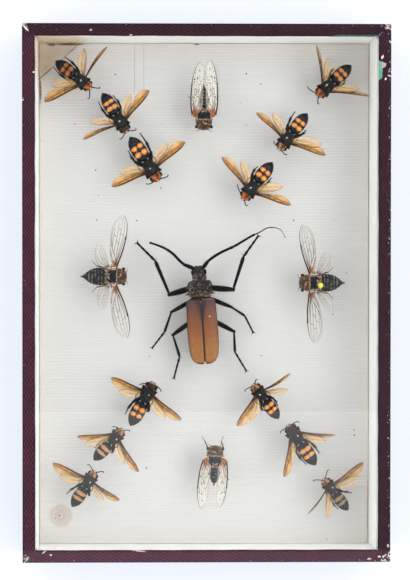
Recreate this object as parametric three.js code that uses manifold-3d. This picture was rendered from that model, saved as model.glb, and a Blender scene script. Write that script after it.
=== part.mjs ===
// Insect collection drawer: a papered box with a lift-off glazed lid and seventeen pinned insects.
// Millimetres, +Z up. X runs across the box and Y along it, with the origin at the centre of the
// underside. Each insect is shaped in a frame of its own, with +X towards its head and +Y to its left.
import * as THREE from "three";
import Module from "manifold-3d";
import { mergeVertices } from "three/addons/utils/BufferGeometryUtils.js";

const manifold = await Module();
manifold.setup();

// Box and lid
const WIDTH = 267;
const LENGTH = 390;
const HEIGHT = 54;
const BOTTOM_THICKNESS = 3;
const BASE_HEIGHT = 34;
const WALL_THICKNESS = 4.5;
const COVERING_THICKNESS = 0.5;
const COVERING_SETBACK = 0.5;
const BORDER_WIDTH = 9.25;
const MITRE_SETBACK = 0.2;
const GLASS_THICKNESS = 2;
const FIT_GAP = 0.25;

// Lip that the lid slips over: its inner face, measured in from the outside of the box
const LIP_INSET_SIDE = 10.75;
const LIP_INSET_END = 9;

// Floor
const PINNING_SHEET_THICKNESS = 9;
const FLOOR_PAPER_THICKNESS = 0.75;

// Pins
const PIN_LENGTH = 38;
const PIN_RADIUS = 0.3;
const PIN_POINT_HEIGHT = 5.5;
const PIN_POINT_LENGTH = 2;
const PIN_HEAD_RADIUS = 0.7;
const BALL_HEAD_RADIUS = 2;
const PIN_HOLE_WIDTH = 1.2;
const PIN_SIDES = 5;

// Specimens
const SPECIMEN_HEIGHT = 30;
const WING_THICKNESS = 0.5;
const LIMB_SIDES = 3;
const HIND_WING_SHARE = 0.71;
const SIDES = [1, -1];
const WING_ROOT_OVERLAP = 0.5;

// Joining and cutting
const MERGE_TOLERANCE = 1e-4;
const CUT_MARGIN = 1;

const halfWidth = WIDTH / 2;
const halfLength = LENGTH / 2;
const boardX = halfWidth - COVERING_THICKNESS;
const boardY = halfLength - COVERING_THICKNESS;
const wallX = boardX - WALL_THICKNESS;
const wallY = boardY - WALL_THICKNESS;
const lipX = halfWidth - LIP_INSET_SIDE;
const lipY = halfLength - LIP_INSET_END;
const glassTop = HEIGHT - COVERING_THICKNESS;
const glassBottom = glassTop - GLASS_THICKNESS;
const sheetTop = BOTTOM_THICKNESS + PINNING_SHEET_THICKNESS;

// Mammoth wasps. heading: degrees from +X to the head. length: head to abdomen tip.
// fore and hind: how far each wing is swept back, in degrees. reach: thorax to forewing tip.
// roll: turn of each forewing about its own length, in degrees. Pairs are left, right.
// pinAt: the pin's place in the wasp's own frame, where it isn't the usual one.
const WASPS = [
  {
    at: [-91.8, 156.6], heading: -38, length: 30,
    fore: [0, 21], hind: [32, 41], reach: [31, 31], roll: [65, 10],
  },
  {
    at: [-63, 127.2], heading: -58, length: 31,
    fore: [14, 5], hind: [36, 28], reach: [31, 30.5], roll: [10, 55],
  },
  {
    at: [-40.8, 92.8], heading: -57, length: 35,
    fore: [3, 6], hind: [21, 23], reach: [31.5, 31.5], roll: [5, 15],
  },
  {
    at: [89.7, 152.3], heading: -138, length: 31,
    fore: [35, 27], hind: [44, 43], reach: [31.5, 31], roll: [20, 65],
  },
  {
    at: [60.4, 114.1], heading: -128, length: 31,
    fore: [14, 1], hind: [27, 22], reach: [30.5, 29.5], roll: [15, 25],
  },
  {
    at: [34.1, 77.7], heading: -129, length: 32,
    fore: [16, 7], hind: [42, 31], reach: [31.5, 31.5], roll: [15, 20],
  },
  {
    at: [-43.3, -74.7], heading: 62, length: 33,
    fore: [1, 7], hind: [19, 23], reach: [29, 31], roll: [5, 15],
  },
  {
    at: [-67.1, -106.5], heading: 47, length: 28.5,
    fore: [40, 11], hind: [47, 27], reach: [27, 30], roll: [45, 15],
  },
  {
    at: [-86.2, -138.4], heading: 57, length: 28.5,
    fore: [5, -3], hind: [21, 18], reach: [29.5, 26.5], roll: [15, 25],
  },
  {
    at: [41, -74.3], heading: 127, length: 29, pinAt: [1.5, 1],
    fore: [15, 1], hind: [32, 27], reach: [29, 26.5], roll: [5, 60],
  },
  {
    at: [67.2, -105.6], heading: 125, length: 33,
    fore: [38, 32], hind: [41, 42], reach: [30.5, 28.5], roll: [20, 60],
  },
  {
    at: [92.8, -143.4], heading: 128, length: 27,
    fore: [10, -2], hind: [46, 16], reach: [26, 30.5], roll: [70, 15],
  },
];

// A wasp of the drawn length. A body's profile pairs the place along it, from the head back, with
// the radius there. A limb's points, and the roots and tips of wings, are those of the left side.
const WASP_DRAWN_LENGTH = 31;
const WASP_PIN_AT = [1.5, -1];
const WASP_BODY = {
  profile: [
    [8.5, 0], [7, 2.8], [5, 2.6], [3.5, 3], [0, 4.3], [-4, 3.2],
    [-5, 1.8], [-9, 4.4], [-15, 4.8], [-20.5, 3.4], [-23.5, 0],
  ],
  flatness: 0.9,
  sides: 6,
  lift: 0,
};
const WASP_LIMBS = [
  [[3, 1.5, -1.5], [6, 5, -4.5], [8.5, 3.5, -8]],
  [[0, 1.5, -1.5], [-3, 7.5, -8]],
  [[-2.5, 1.5, -1], [-9, 6.5, -1], [-17, 6, -6]],
  [[6, 0.8, 0.3], [11, 6, 1]],
];
const WASP_LIMB_RADII = [0.8, 0.4];
const WASP_FORE_WING = { root: [1.5, 2, 1.6], width: 8, lead: 0.1 };
const WASP_HIND_WING = { root: [-1.5, 2, 0.8], width: 6, lead: 0.2 };
const WASP_WING_TIP_HEIGHT = 3.5;

// A cicada, and how its wings lie
const CICADA_PIN_AT = [-3, 2];
const CICADA_BODY = {
  profile: [
    [11.5, 0], [11, 4], [8.5, 6.4], [4, 6.2], [0, 6.6], [-5, 5.8], [-13, 5.4], [-19, 2.6], [-22, 0],
  ],
  flatness: 0.8,
  sides: 7,
  lift: 0,
};
const CICADA_LIMBS = [
  [[8, 3, -2], [11, 6, -4], [15, 7, -7]],
  [[0, 4, -2], [-6, 8, -8]],
];
const CICADA_LIMB_RADII = [0.9, 0.5];
const CICADA_FORE_WING = { root: [3, 4.5, 2], lead: 0.45 };
const CICADA_HIND_WING = { root: [-2, 4, -0.5], lead: 0.4 };
const FOLDED_WINGS = { foreHeight: 1, foreWidth: 12, foreRoll: -20, hindTip: [-27, 8, -3], hindWidth: 8 };
const SPREAD_WINGS = { foreHeight: 2, foreWidth: 13, foreRoll: 10, hindTip: [-9, 26, 1.5], hindWidth: 11 };

// Cicadas. foreTips: where the left and right forewings end, in the insect's own frame.
const CICADAS = [
  { name: "top", at: [-1.2, 131.8], heading: -90, wings: FOLDED_WINGS, foreTips: [[-39.5, 4.5], [-38, -3]] },
  { name: "left", at: [-69.4, 12.8], heading: 0, wings: SPREAD_WINGS, foreTips: [[9, 45], [11, -46]] },
  { name: "right", at: [80.6, 8.3], heading: 180, wings: SPREAD_WINGS, foreTips: [[0, 44], [8.5, -43]] },
  { name: "foot", at: [7, -123.2], heading: 88, wings: FOLDED_WINGS, foreTips: [[-34.5, 8.5], [-33, -5]] },
];

// Long-horned beetle. The left-hand and right-hand joints are in its own frame, from the body out.
const BEETLE_AT = [-3.6, -2.3];
const BEETLE_HEADING = 94;
const BEETLE_PIN_AT = [-14.5, -5];
const BEETLE_BODY = {
  profile: [
    [21, 0], [20, 3.5], [17, 5.4], [12.5, 5.6], [11, 8.5], [6, 9.2], [2.5, 10.3],
    [0, 8.6], [-2, 10.3], [-29, 11.3], [-42, 9.8], [-48, 5], [-49, 0],
  ],
  flatness: 0.55,
  sides: 8,
  lift: -1,
};
const BEETLE_LEG_RADII = [1.8, 0.7];
const BEETLE_ANTENNA_RADII = [1.2, 0.4];
const BEETLE_LEGS = [
  [[7, 6, -5], [3.5, 22.5, -1], [29, 31, -9], [43, 43.5, -11]],
  [[6.5, -6, -5], [4, -24.5, -1], [27.5, -34, -9], [42, -46, -11]],
  [[-2, 7, -6], [-9.5, 22, -2], [-24, 28, -9], [-35, 37.5, -12]],
  [[-1, -7, -6], [-9, -22, -2], [-16, -32, -9], [-29, -37.5, -12]],
  [[-17, 8, -6], [-26.5, 22, -2], [-43, 18, -9], [-58.5, 23.5, -12]],
  [[-17, -8, -6], [-27, -23, -2], [-42.5, -23, -9], [-57, -30.5, -12]],
];
const BEETLE_ANTENNAE = [
  [[18, 3.5, 1], [24.5, 10.5, 3], [32.5, 17.5, 2], [42.5, 34.5, 0]],
  [[18, -2.5, 1], [31.5, -17, 3], [44.5, -46.5, 3], [47, -55.5, 2], [38.5, -65.5, 0]],
];

const MATERIALS = {
  leatherette: new THREE.MeshStandardMaterial({ color: 0x4d263c, roughness: 0.5 }),
  whitePaper: new THREE.MeshStandardMaterial({ color: 0xe9e7df, roughness: 0.9 }),
  ribbedPaper: new THREE.MeshStandardMaterial({ color: 0xe2e2dc, roughness: 0.85 }),
  board: new THREE.MeshStandardMaterial({ color: 0xb9a27c, roughness: 0.9 }),
  cork: new THREE.MeshStandardMaterial({ color: 0xb98f5e, roughness: 1 }),
  glass: new THREE.MeshStandardMaterial({
    color: 0xeef6f2,
    roughness: 0.05,
    transparent: true,
    opacity: 0.3,
  }),
  wasp: new THREE.MeshStandardMaterial({ color: 0x17120f, roughness: 0.35 }),
  cicada: new THREE.MeshStandardMaterial({ color: 0x4a3323, roughness: 0.55 }),
  beetle: new THREE.MeshStandardMaterial({ color: 0x4a2018, roughness: 0.4 }),
  pin: new THREE.MeshStandardMaterial({ color: 0xb9b4a2, roughness: 0.3, metalness: 1 }),
  ballPin: new THREE.MeshStandardMaterial({ color: 0xe8d21c, roughness: 0.3 }),
};

const drawer = new THREE.Group();

function addMesh(name, geometry, material) {
  const mesh = new THREE.Mesh(geometry, material);
  mesh.name = name;
  drawer.add(mesh);
  return mesh;
}

// Turns a closed geometry into a solid that can be joined and cut.
function toSolid(geometry) {
  const bare = geometry.clone();
  bare.deleteAttribute("normal");
  bare.deleteAttribute("uv");
  const merged = mergeVertices(bare, MERGE_TOLERANCE);
  const mesh = new manifold.Mesh({
    numProp: 3,
    vertProperties: new Float32Array(merged.attributes.position.array),
    triVerts: new Uint32Array(merged.index.array),
  });
  return new manifold.Manifold(mesh);
}

function toGeometry(solid) {
  const mesh = solid.getMesh();
  const geometry = new THREE.BufferGeometry();
  geometry.setAttribute("position", new THREE.BufferAttribute(mesh.vertProperties, 3));
  geometry.setIndex(new THREE.BufferAttribute(mesh.triVerts, 1));
  geometry.computeVertexNormals();
  return geometry;
}

function join(solids) {
  return solids.reduce((whole, piece) => whole.add(piece));
}

function boxBetween(low, high) {
  const size = high.map((value, axis) => value - low[axis]);
  const geometry = new THREE.BoxGeometry(...size);
  return geometry.translate(...low.map((value, axis) => value + size[axis] / 2));
}

function rectangle(halfX, halfY) {
  return [[-halfX, -halfY], [halfX, -halfY], [halfX, halfY], [-halfX, halfY]]
    .map(([x, y]) => new THREE.Vector2(x, y));
}

function plate(outline, bottom, top, holes = []) {
  const shape = new THREE.Shape(outline);
  shape.holes = holes.map((points) => new THREE.Path(points));
  const geometry = new THREE.ExtrudeGeometry(shape, { depth: top - bottom, bevelEnabled: false });
  return geometry.translate(0, 0, bottom);
}

// Four straight pieces round the box: the two sides run past the two ends.
function addFrame(prefix, outer, inner, bottom, top, material) {
  const pieces = {
    left: [[-outer[0], -outer[1]], [-inner[0], outer[1]]],
    right: [[inner[0], -outer[1]], [outer[0], outer[1]]],
    top: [[-inner[0], inner[1]], [inner[0], outer[1]]],
    foot: [[-inner[0], -outer[1]], [inner[0], -inner[1]]],
  };
  for (const [place, [low, high]] of Object.entries(pieces)) {
    addMesh(`${prefix}_${place}`, boxBetween([...low, bottom], [...high, top]), material);
  }
}

// One mitred strip of leatherette on the +X side: a flange over the glass and a skirt down the lid.
function coveringStrip(across, along) {
  const outline = [
    [across, -(along - MITRE_SETBACK)],
    [across, along - MITRE_SETBACK],
    [across - BORDER_WIDTH, along - BORDER_WIDTH - MITRE_SETBACK],
    [across - BORDER_WIDTH, -(along - BORDER_WIDTH - MITRE_SETBACK)],
  ].map(([x, y]) => new THREE.Vector2(x, y));
  const skirtBottom = BASE_HEIGHT + COVERING_SETBACK;
  const block = toSolid(plate(outline, skirtBottom, HEIGHT));
  const inside = boxBetween(
    [across - 2 * BORDER_WIDTH, -along - CUT_MARGIN, skirtBottom - CUT_MARGIN],
    [across - COVERING_THICKNESS, along + CUT_MARGIN, glassTop],
  );
  return toGeometry(block.subtract(toSolid(inside)));
}

// A tapering limb that bends at each of its points, from the body out.
function limb(points, [startRadius, endRadius]) {
  const path = points.map((point) => new THREE.Vector3(...point));
  const last = path.length - 1;
  const positions = [];
  const faces = [];
  path.forEach((point, index) => {
    const before = path[Math.max(index - 1, 0)];
    const after = path[Math.min(index + 1, last)];
    const direction = after.clone().sub(before).normalize();
    const across = new THREE.Vector3(0, 0, 1).cross(direction).normalize();
    const radius = THREE.MathUtils.lerp(startRadius, endRadius, index / last);
    for (let side = 0; side < LIMB_SIDES; side += 1) {
      const angle = (2 * Math.PI * side) / LIMB_SIDES;
      const spoke = across.clone().applyAxisAngle(direction, angle).multiplyScalar(radius);
      positions.push(...spoke.add(point));
    }
  });
  for (let ring = 0; ring < last; ring += 1) {
    for (let side = 0; side < LIMB_SIDES; side += 1) {
      const near = ring * LIMB_SIDES + side;
      const next = ring * LIMB_SIDES + ((side + 1) % LIMB_SIDES);
      faces.push(near, next, near + LIMB_SIDES);
      faces.push(next, next + LIMB_SIDES, near + LIMB_SIDES);
    }
  }
  for (let side = 1; side < LIMB_SIDES - 1; side += 1) {
    const end = last * LIMB_SIDES;
    faces.push(0, side + 1, side);
    faces.push(end, end + side, end + side + 1);
  }
  const geometry = new THREE.BufferGeometry();
  geometry.setAttribute("position", new THREE.Float32BufferAttribute(positions, 3));
  geometry.setIndex(faces);
  return toSolid(geometry);
}

// A body turned about its own length, from the head back, then flattened from above.
function turnedBody({ profile, flatness, sides, lift }) {
  const outline = profile.map(([x, radius]) => new THREE.Vector2(radius, x)).reverse();
  const geometry = new THREE.LatheGeometry(outline, sides);
  geometry.rotateZ(-Math.PI / 2);
  geometry.scale(1, 1, flatness);
  return toSolid(geometry.translate(0, 0, lift));
}

// A flat wing from root to tip on the insect's left (side 1) or right (side -1). lead is the share of its
// width that lies ahead of the line from root to tip, and roll turns it about that line, in degrees.
function wing(side, root, tip, width, lead, roll) {
  const start = new THREE.Vector3(...root);
  const run = new THREE.Vector3(...tip).sub(start);
  const length = run.length();
  const lengthwise = run.normalize();
  const chord = new THREE.Vector3(0, 0, side).cross(lengthwise).normalize();
  chord.applyAxisAngle(lengthwise, THREE.MathUtils.degToRad(side * roll));
  const outline = [
    [-WING_ROOT_OVERLAP, -0.1 * width],
    [-WING_ROOT_OVERLAP, 0.15 * width],
    [0.55 * length, (1 - lead) * width],
    [length, 0],
    [0.6 * length, -lead * width],
  ].map(([x, y]) => new THREE.Vector2(x, y));
  const geometry = plate(outline, -WING_THICKNESS / 2, WING_THICKNESS / 2);
  const normal = new THREE.Vector3().crossVectors(lengthwise, chord);
  geometry.applyMatrix4(new THREE.Matrix4().makeBasis(lengthwise, chord, normal));
  return toSolid(geometry.translate(...root));
}

// A point of the left side, on the left (side 1) or carried over to the right (side -1).
function onSide(side, [x, y, z]) {
  return [x, side * y, z];
}

function limbPair(side, limbs, radii) {
  return limbs.map((points) => limb(points.map((point) => onSide(side, point)), radii));
}

// Cuts the hole that the pin passes through.
function pinned(solids, pinAt) {
  const half = PIN_HOLE_WIDTH / 2;
  const hole = boxBetween(
    [pinAt[0] - half, pinAt[1] - half, -HEIGHT],
    [pinAt[0] + half, pinAt[1] + half, HEIGHT],
  );
  return toGeometry(join(solids).subtract(toSolid(hole)));
}

// The pin's place on the drawer's floor, from its place in the insect's own frame.
function pinPlace(at, heading, pinAt) {
  const angle = THREE.MathUtils.degToRad(heading);
  const turned = new THREE.Vector2(...pinAt).rotateAround(new THREE.Vector2(), angle);
  return [at[0] + turned.x, at[1] + turned.y];
}

function pinGeometry(headRadius) {
  const top = PIN_POINT_HEIGHT + PIN_LENGTH;
  const profile = [
    [0, PIN_POINT_HEIGHT],
    [PIN_RADIUS, PIN_POINT_HEIGHT + PIN_POINT_LENGTH],
    [PIN_RADIUS, top - 2 * headRadius],
    [headRadius, top - headRadius],
    [0, top],
  ].map(([radius, height]) => new THREE.Vector2(radius, height));
  const geometry = new THREE.LatheGeometry(profile, PIN_SIDES);
  return toGeometry(toSolid(geometry.rotateX(Math.PI / 2)));
}

const pinHoles = [];

function addSpecimen(name, at, heading, pinAt, solids, material, headRadius = PIN_HEAD_RADIUS) {
  const body = addMesh(name, pinned(solids, pinAt), material);
  body.position.set(at[0], at[1], SPECIMEN_HEIGHT);
  body.rotation.z = THREE.MathUtils.degToRad(heading);
  const place = pinPlace(at, heading, pinAt);
  const pinMaterial = headRadius > PIN_HEAD_RADIUS ? MATERIALS.ballPin : MATERIALS.pin;
  const pin = addMesh(`pin_${name}`, pinGeometry(headRadius), pinMaterial);
  pin.position.set(place[0], place[1], 0);
  pinHoles.push(place);
}

function waspSolids({ length, fore, hind, reach, roll }) {
  const size = length / WASP_DRAWN_LENGTH;
  const scaled = (point) => point.map((value) => value * size);
  const limbs = WASP_LIMBS.map((points) => points.map(scaled));
  const solids = [turnedBody({ ...WASP_BODY, profile: WASP_BODY.profile.map(scaled) })];
  SIDES.forEach((side, index) => {
    const addWing = (plan, sweep, distance, turn) => {
      const angle = THREE.MathUtils.degToRad(sweep);
      const tip = [-distance * Math.sin(angle), side * distance * Math.cos(angle), WASP_WING_TIP_HEIGHT];
      solids.push(wing(side, scaled(onSide(side, plan.root)), tip, plan.width * size, plan.lead, turn));
    };
    addWing(WASP_FORE_WING, fore[index], reach[index], roll[index]);
    addWing(WASP_HIND_WING, hind[index], HIND_WING_SHARE * reach[index], 0);
    solids.push(...limbPair(side, limbs, WASP_LIMB_RADII));
  });
  return solids;
}

function cicadaSolids({ wings, foreTips }) {
  const solids = [turnedBody(CICADA_BODY)];
  SIDES.forEach((side, index) => {
    const foreRoot = onSide(side, CICADA_FORE_WING.root);
    const foreTip = [...foreTips[index], wings.foreHeight];
    const hindRoot = onSide(side, CICADA_HIND_WING.root);
    const hindTip = onSide(side, wings.hindTip);
    solids.push(
      wing(side, foreRoot, foreTip, wings.foreWidth, CICADA_FORE_WING.lead, wings.foreRoll),
      wing(side, hindRoot, hindTip, wings.hindWidth, CICADA_HIND_WING.lead, 0),
      ...limbPair(side, CICADA_LIMBS, CICADA_LIMB_RADII),
    );
  });
  return solids;
}

function beetleSolids() {
  return [
    turnedBody(BEETLE_BODY),
    ...BEETLE_LEGS.map((leg) => limb(leg, BEETLE_LEG_RADII)),
    ...BEETLE_ANTENNAE.map((antenna) => limb(antenna, BEETLE_ANTENNA_RADII)),
  ];
}

// Base
addMesh(
  "bottom_board",
  boxBetween([-boardX, -boardY, 0], [boardX, boardY, BOTTOM_THICKNESS]),
  MATERIALS.board,
);
addFrame("base_wall", [boardX, boardY], [wallX, wallY], BOTTOM_THICKNESS, BASE_HEIGHT, MATERIALS.board);
addMesh(
  "base_covering",
  plate(
    rectangle(halfWidth, halfLength),
    COVERING_SETBACK,
    BASE_HEIGHT - COVERING_SETBACK,
    [rectangle(boardX, boardY)],
  ),
  MATERIALS.leatherette,
);
addFrame(
  "lip",
  [wallX - FIT_GAP, wallY - FIT_GAP],
  [lipX, lipY],
  BOTTOM_THICKNESS,
  glassBottom - FIT_GAP,
  MATERIALS.whitePaper,
);

// Lid
addFrame("lid_wall", [boardX, boardY], [wallX, wallY], BASE_HEIGHT, glassBottom, MATERIALS.board);
addMesh(
  "glass_pane",
  boxBetween(
    [-boardX + FIT_GAP, -boardY + FIT_GAP, glassBottom],
    [boardX - FIT_GAP, boardY - FIT_GAP, glassTop],
  ),
  MATERIALS.glass,
);
["right", "top", "left", "foot"].forEach((place, quarter) => {
  const extent = quarter % 2 === 0 ? [halfWidth, halfLength] : [halfLength, halfWidth];
  const strip = addMesh(`lid_covering_${place}`, coveringStrip(...extent), MATERIALS.leatherette);
  strip.rotation.z = (quarter * Math.PI) / 2;
});

// Specimens and their pins
WASPS.forEach((wasp, index) => {
  const pinAt = wasp.pinAt ?? WASP_PIN_AT;
  addSpecimen(`wasp_${index + 1}`, wasp.at, wasp.heading, pinAt, waspSolids(wasp), MATERIALS.wasp);
});
CICADAS.forEach((cicada) => {
  addSpecimen(
    `cicada_${cicada.name}`,
    cicada.at,
    cicada.heading,
    CICADA_PIN_AT,
    cicadaSolids(cicada),
    MATERIALS.cicada,
    cicada.name === "right" ? BALL_HEAD_RADIUS : PIN_HEAD_RADIUS,
  );
});
addSpecimen(
  "longhorn_beetle",
  BEETLE_AT,
  BEETLE_HEADING,
  BEETLE_PIN_AT,
  beetleSolids(),
  MATERIALS.beetle,
);

// Floor, pierced by the pins
const floorX = lipX - FIT_GAP;
const floorY = lipY - FIT_GAP;
const pierced = pinHoles.map(([x, y]) => {
  const hole = rectangle(PIN_HOLE_WIDTH / 2, PIN_HOLE_WIDTH / 2);
  return hole.map((corner) => corner.add(new THREE.Vector2(x, y)));
});
addMesh(
  "pinning_sheet",
  plate(rectangle(floorX, floorY), BOTTOM_THICKNESS, sheetTop, pierced),
  MATERIALS.cork,
);
addMesh(
  "floor_paper",
  plate(rectangle(floorX, floorY), sheetTop, sheetTop + FLOOR_PAPER_THICKNESS, pierced),
  MATERIALS.ribbedPaper,
);

export default drawer;
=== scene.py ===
"""The looks of a glass-topped insect collection drawer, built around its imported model.

The lid faces +Z and the long sides run along Y. Meshes are drawn in millimetres, in a
piece's own frame, and shrunk to metres as they become objects.
"""

from __future__ import annotations

import logging
import math
from collections.abc import Callable, Sequence
from dataclasses import dataclass, field
from enum import Enum
from functools import cache

import bmesh
import bpy
import numpy as np
from mathutils import Matrix, Vector, noise


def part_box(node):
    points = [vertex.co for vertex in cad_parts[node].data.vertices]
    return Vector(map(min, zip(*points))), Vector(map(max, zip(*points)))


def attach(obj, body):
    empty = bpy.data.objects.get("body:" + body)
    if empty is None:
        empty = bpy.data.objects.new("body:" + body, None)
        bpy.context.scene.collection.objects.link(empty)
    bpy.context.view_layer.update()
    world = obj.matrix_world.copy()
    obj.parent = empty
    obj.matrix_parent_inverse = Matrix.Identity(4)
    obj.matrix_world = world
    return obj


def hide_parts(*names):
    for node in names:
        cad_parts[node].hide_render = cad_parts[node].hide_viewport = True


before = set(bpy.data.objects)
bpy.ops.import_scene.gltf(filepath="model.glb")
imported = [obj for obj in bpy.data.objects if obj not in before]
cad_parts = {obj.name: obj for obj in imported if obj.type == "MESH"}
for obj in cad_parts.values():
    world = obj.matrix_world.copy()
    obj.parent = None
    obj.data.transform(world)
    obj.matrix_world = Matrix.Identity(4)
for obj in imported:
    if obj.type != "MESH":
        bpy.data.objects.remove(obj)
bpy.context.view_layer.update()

log = logging.getLogger("drawer")

MM = 0.001
ENDLESS = 1e6
CICADA_RING = 2.35
BALL_PINNED = "cicada_right"
BODY = "root"

PLACE = "own_place"
PART = "part"
TRAIT = "trait"
HAIR = "hair"
THICKNESS = "thickness"
VEIN_SIDES = 6

Array = np.ndarray
Material = bpy.types.Material
Mesh = bpy.types.Mesh
Thing = bpy.types.Object
Tree = bpy.types.NodeTree
Point = tuple[float, float]
Place = tuple[float, float, float]
Pair = tuple[Point, Point]
Relief = Callable[[Array, Array, Array], Array]
LEFT, RIGHT = 1, -1
SIDES = (LEFT, RIGHT)


class Slot(Enum):
    """The record's material slots of the pieces that are drawn here."""

    BOTTOM_PAPER = "bottom_paper"
    LEATHERETTE = "leatherette"
    WHITE_PAPER = "white_paper"
    RIBBED_PAPER = "ribbed_paper"
    WASP = "wasp_chitin"
    CICADA = "cicada_chitin"
    BEETLE = "beetle_chitin"
    PIN_STEEL = "pin_steel"
    BALL_PIN = "ball_pin"


class Part(Enum):
    """The parts of an insect that a finish tells apart."""

    LIMB = 0
    THORAX = 1
    GASTER = 2
    HEAD = 3
    EYE = 4
    HAIR = 5
    VEIN = 6
    COLLAR = 7
    SHIELD = 8
    WING_ROOT = 9
    MEMBRANE = 10


class HeadTone(Enum):
    """How brown a wasp's head has gone, from 0 for orange to 1 for dark brown."""

    ORANGE = 0.0
    TAN = 0.45
    BROWN = 1.0


# Drawing meshes


def spline(keys: Sequence, count: int) -> Array:
    """Draws a smooth line through the keys.

    Args:
        keys: The points, or rows of values, that the line passes.
        count: How many rows come back.

    Returns:
        The rows, evenly spaced between each pair of keys.
    """
    rows = np.asarray(keys, float)
    ends = np.vstack([2 * rows[0] - rows[1], rows, 2 * rows[-1] - rows[-2]])
    where = np.linspace(0, len(rows) - 1, count)
    first = np.minimum(where.astype(int), len(rows) - 2)
    t = (where - first)[:, None]
    a, b, c, d = (ends[first + step] for step in range(4))
    return 0.5 * (2 * b + (c - a) * t + (2 * a - 5 * b + 4 * c - d) * t**2 + (3 * b - a - 3 * c + d) * t**3)


def along(start: Sequence, end: Sequence, share: float) -> Array:
    """Gives the point a share of the way from start to end."""
    return np.asarray(start, float) * (1 - share) + np.asarray(end, float) * share


def tube_rings(path: Array, radii: Array, sides: int) -> Array:
    """Lays round rings along a path.

    Args:
        path: The points of the middle line.
        radii: The radius at each point.
        sides: The points on each ring.

    Returns:
        The rings, with no twist between them.
    """
    path = np.asarray(path, float)
    heading = np.gradient(path, axis=0)
    heading /= np.linalg.norm(heading, axis=1)[:, None]
    across = np.cross(heading[0], (0.0, 0.0, 1.0))
    if np.linalg.norm(across) < 0.1:
        across = np.cross(heading[0], (1.0, 0.0, 0.0))
    angle = np.linspace(0, 2 * np.pi, sides, endpoint=False)
    rings = []
    for middle, ahead, radius in zip(path, heading, np.broadcast_to(radii, len(path))):
        across = across - ahead * np.dot(across, ahead)
        across /= np.linalg.norm(across)
        other = np.cross(ahead, across)
        rings.append(middle + radius * (np.outer(np.cos(angle), across) + np.outer(np.sin(angle), other)))
    return np.array(rings)


SPINDLE_STEPS = np.array([0.0, 0.03, 0.1, 0.25, 0.42, 0.58, 0.75, 0.9, 0.97, 1.0])
SPINDLE_ENDS = np.array([0.4, 0.82, 1.0, 1.0, 1.0, 1.0, 1.0, 1.0, 0.82, 0.4])


def spindle_rings(start: Sequence, end: Sequence, near: float, far: float,
                  belly: float = 0.0, sides: int = 10) -> Array:
    """Lays the rings of one limb joint with rounded ends.

    Args:
        start: The middle of the near end.
        end: The middle of the far end.
        near: The radius at the near end.
        far: The radius at the far end.
        belly: How much thicker the middle is.
        sides: The points on each ring.

    Returns:
        The rings.
    """
    steps = SPINDLE_STEPS[:, None]
    path = np.asarray(start, float) * (1 - steps) + np.asarray(end, float) * steps
    radii = near + (far - near) * SPINDLE_STEPS + belly * np.sin(np.pi * SPINDLE_STEPS)
    return tube_rings(path, radii * SPINDLE_ENDS, sides)


def bead_rings(middle: Sequence, size: Place, rings: int = 9, around: int = 14) -> Array:
    """Lays the rings of an egg-shaped bead along X.

    Args:
        middle: The bead's middle.
        size: Its half sizes along X, Y and Z.
        rings: How many rings.
        around: The points on each ring.

    Returns:
        The rings.
    """
    height = np.linspace(-1.42, 1.42, rings)[:, None]
    angle = np.linspace(0, 2 * np.pi, around, endpoint=False)
    shape = np.stack(
        [
            np.sin(height) * size[0] + 0 * angle,
            np.cos(height) * np.cos(angle) * size[1],
            np.cos(height) * np.sin(angle) * size[2],
        ],
        axis=-1,
    )
    return shape + np.asarray(middle, float)


def loft_rings(stations: Sequence, rings: int, around: int, relief: Relief | None = None) -> Array:
    """Lays the rings of a body along X.

    Args:
        stations: Rows of X, half width, height above, depth below and middle height.
        rings: How many rings.
        around: The points on each ring.
        relief: Gives how far a point stands proud, from its X, Y and height.

    Returns:
        The rings.
    """
    rows = spline(stations, rings)
    rows[:, 1:4] = np.maximum(rows[:, 1:4], 0.04)
    angle = np.linspace(0, 2 * np.pi, around, endpoint=False)
    x = rows[:, :1] + 0 * angle
    across = rows[:, 1:2] * np.cos(angle)
    high = np.where(np.sin(angle) > 0, rows[:, 2:3], rows[:, 3:4]) * np.sin(angle)
    if relief is not None:
        proud = relief(x, across, high)
        across = across + proud * np.cos(angle)
        high = high + proud * np.sin(angle)
    return np.stack([x, across, rows[:, 4:5] + high], axis=-1)


def unevenness(points: Array, scale: float, seed: float = 0.0) -> Array:
    """Gives smooth noise from -1 to 1 at each point.

    Args:
        points: The points, in millimetres, in an array of any shape ending in 3.
        scale: How many bumps there are in a millimetre.
        seed: Which noise it is.

    Returns:
        One value for each point.
    """
    flat = points.reshape(-1, 3) * scale + seed
    return np.array([noise.noise(Vector(p)) for p in flat]).reshape(points.shape[:-1])


def bumps(x: Array, y: Array, z: Array, scale: float, seed: float = 0.0) -> Array:
    """Gives smooth noise from -1 to 1 at points whose X, Y and Z are given apart."""
    return unevenness(np.stack([x, y, z], -1), scale, seed)


def lengths(path: Array) -> Array:
    """Gives how far each point of a path is along it."""
    return np.concatenate([[0], np.cumsum(np.linalg.norm(np.diff(path, axis=0), axis=1))])


def groove(value: Array, middle: float, width: float) -> Array:
    """Gives a smooth bump of height 1 round the middle value."""
    return np.exp(-(((value - middle) / width) ** 2))


def set_attribute(mesh: Mesh, name: str, kind: str, values: Array) -> None:
    """Stores one value for each corner point of a mesh."""
    key = "vector" if kind == "FLOAT_VECTOR" else "value"
    attribute = mesh.attributes.new(name, kind, "POINT")
    attribute.data.foreach_set(key, np.ascontiguousarray(values, np.float32).ravel())


def set_marks(mesh: Mesh, places: list[Array], parts: Array, trait: Place) -> None:
    """Stores what the finishes read at each point: its place, its part and the piece's trait."""
    set_attribute(mesh, PLACE, "FLOAT_VECTOR", np.vstack(places))
    set_attribute(mesh, PART, "FLOAT", parts)
    set_attribute(mesh, TRAIT, "FLOAT_VECTOR", np.tile(trait, (len(parts), 1)))


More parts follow.
